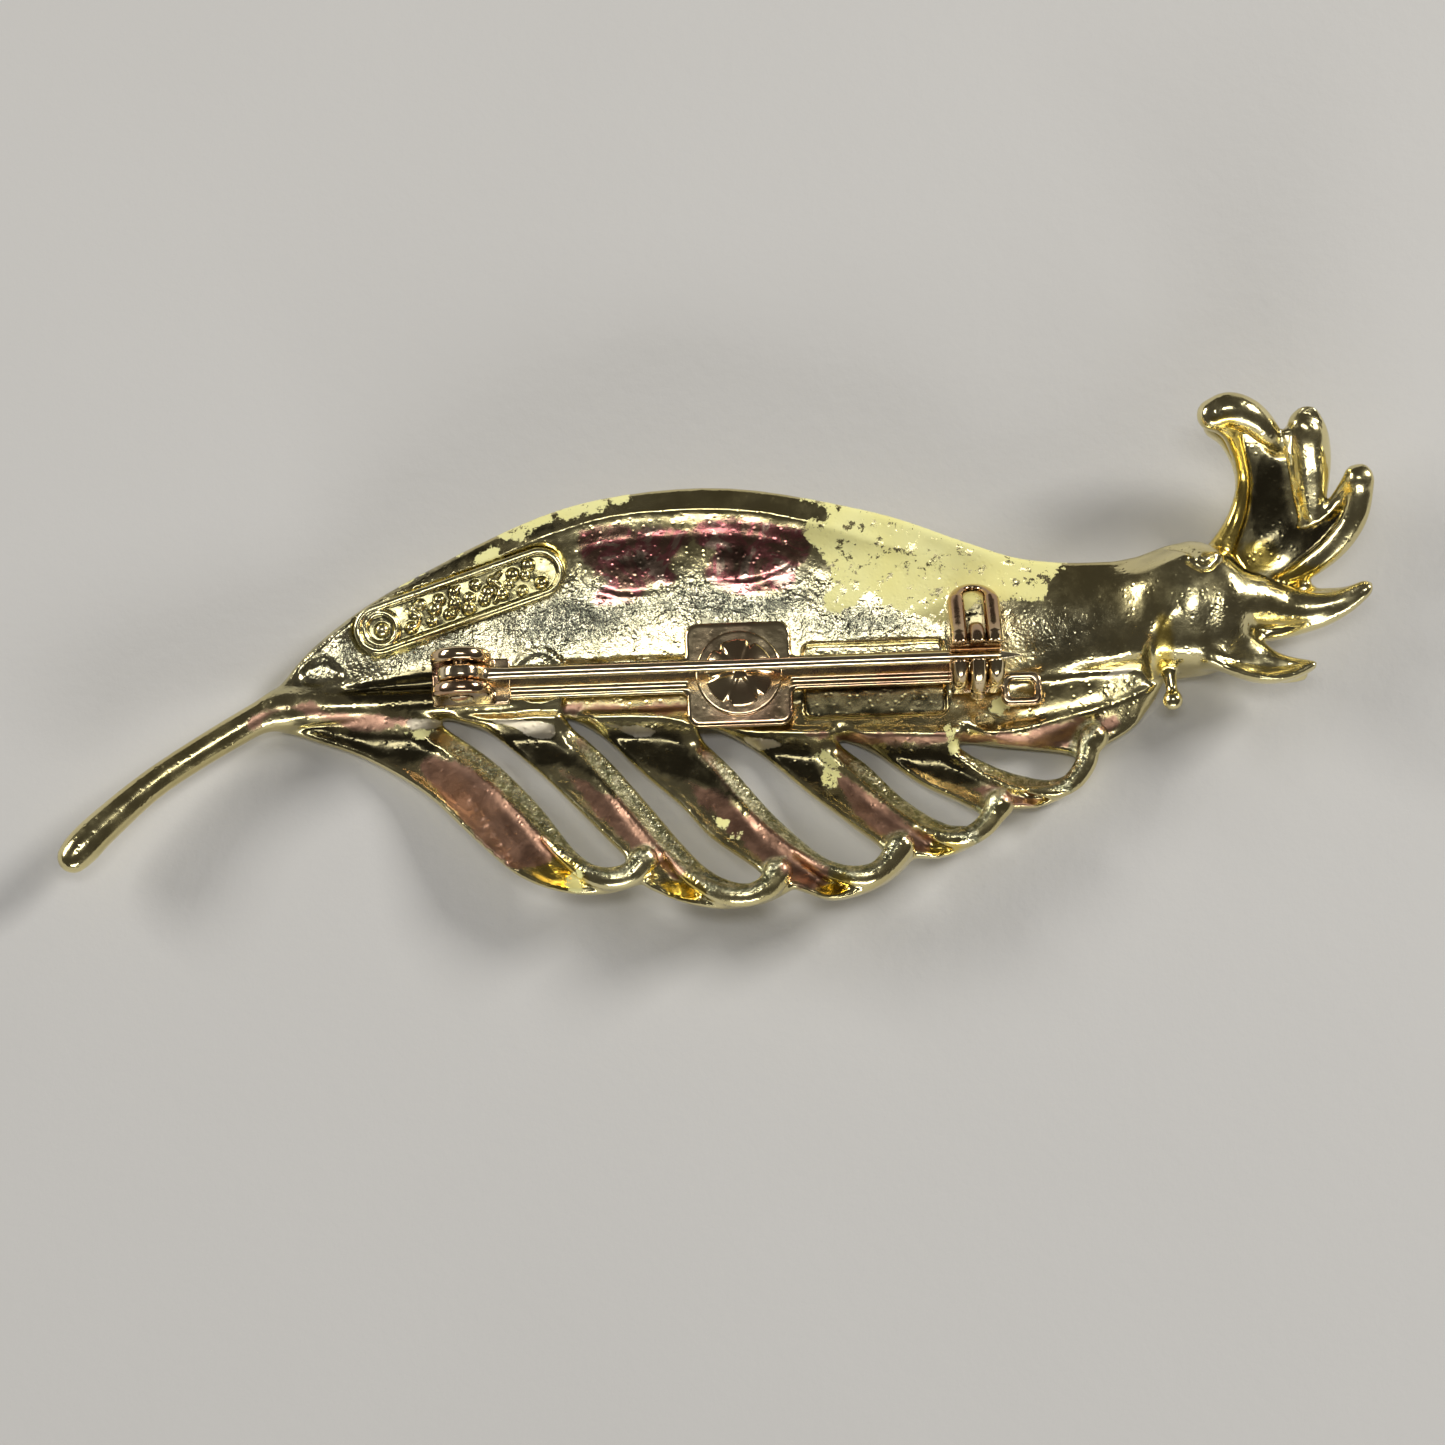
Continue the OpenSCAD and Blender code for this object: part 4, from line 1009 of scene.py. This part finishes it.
def worn_and_painted_plating(n, colour, rough, peel, pits):
    """The casting's stains, painted reflections, painted shade and painted highlights, pitted places and
    flakes: colour, roughness, normal and how metallic it is.
    """
    flake, pitted, face = n.layer("flake"), n.layer("pitted"), n.layer("face")
    ragged = n.math("MULTIPLY", n.math("SUBTRACT", n.noise(520, 6, 0.7, 0.6), 0.5), 1.6)

    def painted_light_patch(name, low, high, most):
        return n.ramp(n.math("ADD", n.layer(name), ragged), low, high, 0, most)

    # saturated yellow: partly deeper plating, partly painted yellow highlights
    colour = n.mix(painted_light_patch("amber_glint_and_plating", -0.2, 0.25, 0.85), colour, AMBER_GLINT_AND_PLATING)
    # painted pinkish reflections in rose and plum, a little rougher
    pink_reflected = n.mix(n.ramp(n.noise(420, 5, 0.7, 1.5), 0.35, 0.65), ROSE_REFLECTION, PLUM_REFLECTION)
    colour = n.mix(painted_light_patch("pink_reflection", -0.1, 0.2, 0.9), colour, pink_reflected)
    # painted red reflection streaks in brown, red and salmon
    reflection_streak_noise = n.noise(300, 5, 0.6, 2.5)
    reflection_streaks = n.mix(n.ramp(reflection_streak_noise, 0.44, 0.52), BROWN_REFLECTION, CRIMSON_REFLECTION)
    reflection_streaks = n.mix(n.ramp(reflection_streak_noise, 0.54, 0.6), reflection_streaks, SALMON_REFLECTION)
    colour = n.mix(painted_light_patch("red_reflection", -0.15, 0.15, 0.92), colour, reflection_streaks)
    # painted shade and painted dark reflections, near-black
    colour = n.mix(painted_light_patch("painted_shade", -0.2, 0.3, 0.85), colour, PAINTED_SHADE_DARK)
    colour = n.mix(n.math("MULTIPLY", pitted, 0.7), colour, SILVER)
    colour = n.mix(n.math("MULTIPLY", pitted, n.ramp(n.noise(1100, 6, 0.8), 0.42, 0.56)), colour, PIT)
    smeared = n.math("ADD", n.layer("smear"), n.math("MULTIPLY", ragged, 0.4))
    smeared = n.ramp(smeared, -0.04, 0.08, 0, 0.85)
    colour = n.mix(smeared, colour, CREAM)
    matt = n.math("ADD", painted_light_patch("pink_reflection", -0.15, 0.25, 0.2), n.math("MULTIPLY", smeared, 0.3))
    # painted speckled highlight on the slot-side faces, which are also rougher and grainier
    speckled = n.mix(n.ramp(n.noise(2400, 5, 0.75), 0.42, 0.6), GLINT_SPECK_DARK, GLINT_SPECK_BRIGHT)
    colour = n.mix(n.math("MULTIPLY", face, 0.85), colour, speckled)
    rough = n.math("ADD", n.math("ADD", rough, matt), n.math("MULTIPLY", face, 0.12))
    coarse = n.math("MAXIMUM", pitted, n.math("MULTIPLY", face, 0.8))
    grains = n.math("MULTIPLY", n.noise(4400, 2, 0.6), n.math("ADD", 0.05, coarse))
    normal = n.bump(pits, 0.000012, under=n.bump(grains, 0.00008, under=peel))
    # flat pale yellow where the plating has gone
    edge = n.math("ADD", flake, n.math("MULTIPLY", n.math("SUBTRACT", n.noise(1300, 7, 0.75), 0.5), 1.8))
    holes = n.ramp(n.noise(1400, 6, 0.75), 0.565, 0.6, 0, 3)
    mask = n.ramp(n.math("SUBTRACT", edge, holes), -0.02, 0.03)
    kept = n.math("SUBTRACT", 1.0, mask)
    colour = n.mix(mask, colour, n.mix(n.noise(300, 3), FLAKE_DEEP, FLAKE_PALE))
    rough = n.math("ADD", n.math("MULTIPLY", rough, kept), n.math("MULTIPLY", mask, 0.5))
    return colour, rough, normal, kept


def plating(name, gold, dark, rough, grain, wear_and_painted_light=False, sunk=False):
    """Bright plating with slow colour changes, orange peel, fine pits and, on the casting, worn places and
    painted reflections, shade and highlights.
    """
    n = Nodes(name)
    fine = n.noise(1500, 4, 0.65)
    colour = n.mix(n.ramp(n.noise(160, 3), 0.35, 0.68), gold, dark)
    colour = n.mix(n.math("MULTIPLY", n.ramp(n.noise(420, 4, 0.6), 0.55, 0.75), 0.35), colour, OLIVE)
    rough_now = n.ramp(n.noise(700, 4, 0.6), 0.3, 0.75, rough, rough * 2.2)
    peel = n.bump(n.noise(900, 2, 0.5, 0.4), 0.00003 * grain)
    pits = n.ramp(n.cells(2600), 0.0, 0.4)
    metallic = 1.0
    if sunk:
        low = n.math("MULTIPLY", n.layer("sunk"), n.ramp(fine, 0.3, 0.6, 0.45, 0.8))
        colour = n.mix(low, colour, LOW_GROUND)
    if wear_and_painted_light:
        colour, rough_now, normal, metallic = worn_and_painted_plating(n, colour, rough_now, peel, pits)
    else:
        normal = n.bump(fine, 0.00001 * grain, under=peel)
        normal = n.bump(pits, 0.000008 * grain, under=normal)
    n.link(colour, n.shader.inputs["Base Color"])
    n.link(rough_now, n.shader.inputs["Roughness"])
    n.link(normal, n.shader.inputs["Normal"])
    n.link(metallic, n.shader.inputs["Metallic"])
    return n.material


FINISHES = {
    "cast_gold": plating("cast_gold", (0.83, 0.74, 0.41), (0.68, 0.58, 0.28), 0.13, 1.0, wear_and_painted_light=True),
    "tag_gold": plating("tag_gold", (0.86, 0.79, 0.46), (0.66, 0.58, 0.28), 0.15, 1.0, sunk=True),
    "finding_gold": plating("finding_gold", (0.84, 0.7, 0.42), (0.5, 0.32, 0.2), 0.1, 0.4),
    "pin_wire": plating("pin_wire", (0.86, 0.75, 0.5), (0.75, 0.6, 0.4), 0.1, 0.3)}


# ---------------------------------------------------------------- pieces

for name, build, body, node, finish, place, layers in [
        ("casting", build_casting, "brooch", "feather_casting", "cast_gold", CENTRED, casting_layers),
        ("tag", build_tag, "brooch", "signature_tag", "tag_gold", tag_place(CENTRED), tag_layers),
        ("bar", build_bar, "brooch", "pin_bar", "finding_gold", ON_BACK, None),
        ("washer", build_washer, "brooch", "rivet_washer", "finding_gold", ON_BACK, None),
        ("rivet", build_rivet, "brooch", "centre_rivet", "finding_gold", ON_BACK, None),
        ("knuckle", build_knuckle, "brooch", "hinge_knuckle", "finding_gold", ON_BACK, None),
        ("hinge_pin", build_hinge_rivet, "brooch", "hinge_rivet", "pin_wire", ON_BACK, None),
        ("stem", build_stem, "pin", "pin_stem", "pin_wire", ON_BACK, None),
        ("housing", build_housing, "brooch", "catch_housing", "finding_gold", ON_BACK, None),
        ("catch", build_lever, "lever", "catch_lever", "finding_gold", ON_BACK, None)]:
    from_field(name, build(), body, node, finish, place, layers)


# ---------------------------------------------------------------- studio

floor_mesh = bpy.data.meshes.new("floor")
floor_mesh.from_pydata([(-0.6, -0.6, 0), (0.6, -0.6, 0), (0.6, 0.6, 0), (-0.6, 0.6, 0)], [], [(0, 1, 2, 3)])
floor = add_object("floor", floor_mesh)
paper = Nodes("paper")
tone = paper.mix(paper.noise(30, 3), (0.62, 0.61, 0.59), (0.66, 0.65, 0.63))
paper.link(tone, paper.shader.inputs["Base Color"])
paper.shader.inputs["Roughness"].default_value = 0.85
paper.link(paper.bump(paper.noise(900, 4), 0.00004), paper.shader.inputs["Normal"])
floor_mesh.materials.append(paper.material)


def softbox(name, place, aim, size, energy, colour=(1, 1, 1)):
    light = bpy.data.lights.new(name, "AREA")
    light.shape = "RECTANGLE"
    light.size, light.size_y = size
    light.energy = energy
    light.color = colour
    lamp = add_object(name, light)
    lamp.location = place
    lamp.rotation_euler = (Vector(aim) - Vector(place)).to_track_quat("-Z", "Y").to_euler()


softbox("top", (0, 0, 0.5), (0, 0, 0), (0.2, 0.08), 0.39)
softbox("left", (-0.42, 0.16, 0.2), (0, 0, 0), (0.26, 0.1), 1.2, (1, 0.98, 0.94))
softbox("right", (0.4, 0.22, 0.26), (0, 0, 0), (0.16, 0.14), 1.9, (1, 0.98, 0.94))
softbox("front", (0.05, -0.5, 0.14), (0, 0, 0), (0.4, 0.07), 1.1)

world = bpy.data.worlds.new("studio")
bpy.context.scene.world = world
world.use_nodes = True
world.node_tree.nodes["Background"].inputs["Color"].default_value = (0.2, 0.185, 0.17, 1)
world.node_tree.nodes["Background"].inputs["Strength"].default_value = 0.3
bpy.context.scene.view_settings.view_transform = "Standard"

camera_data = bpy.data.cameras.new("camera")
camera = add_object("camera", camera_data)
bpy.context.scene.camera = camera
ELEVATION, DISTANCE, VIEW_WIDTH, SENSOR = math.radians(79), 0.25, 0.0794, 36
aim = Vector((0.0003, -0.0036, 0.003))
camera.location = aim + Vector((0, -math.cos(ELEVATION), math.sin(ELEVATION))) * DISTANCE
camera.rotation_euler = (math.pi / 2 - ELEVATION, 0, 0)
camera_data.sensor_width = SENSOR
camera_data.lens = SENSOR / (VIEW_WIDTH / DISTANCE)
camera_data.clip_start = 0.01
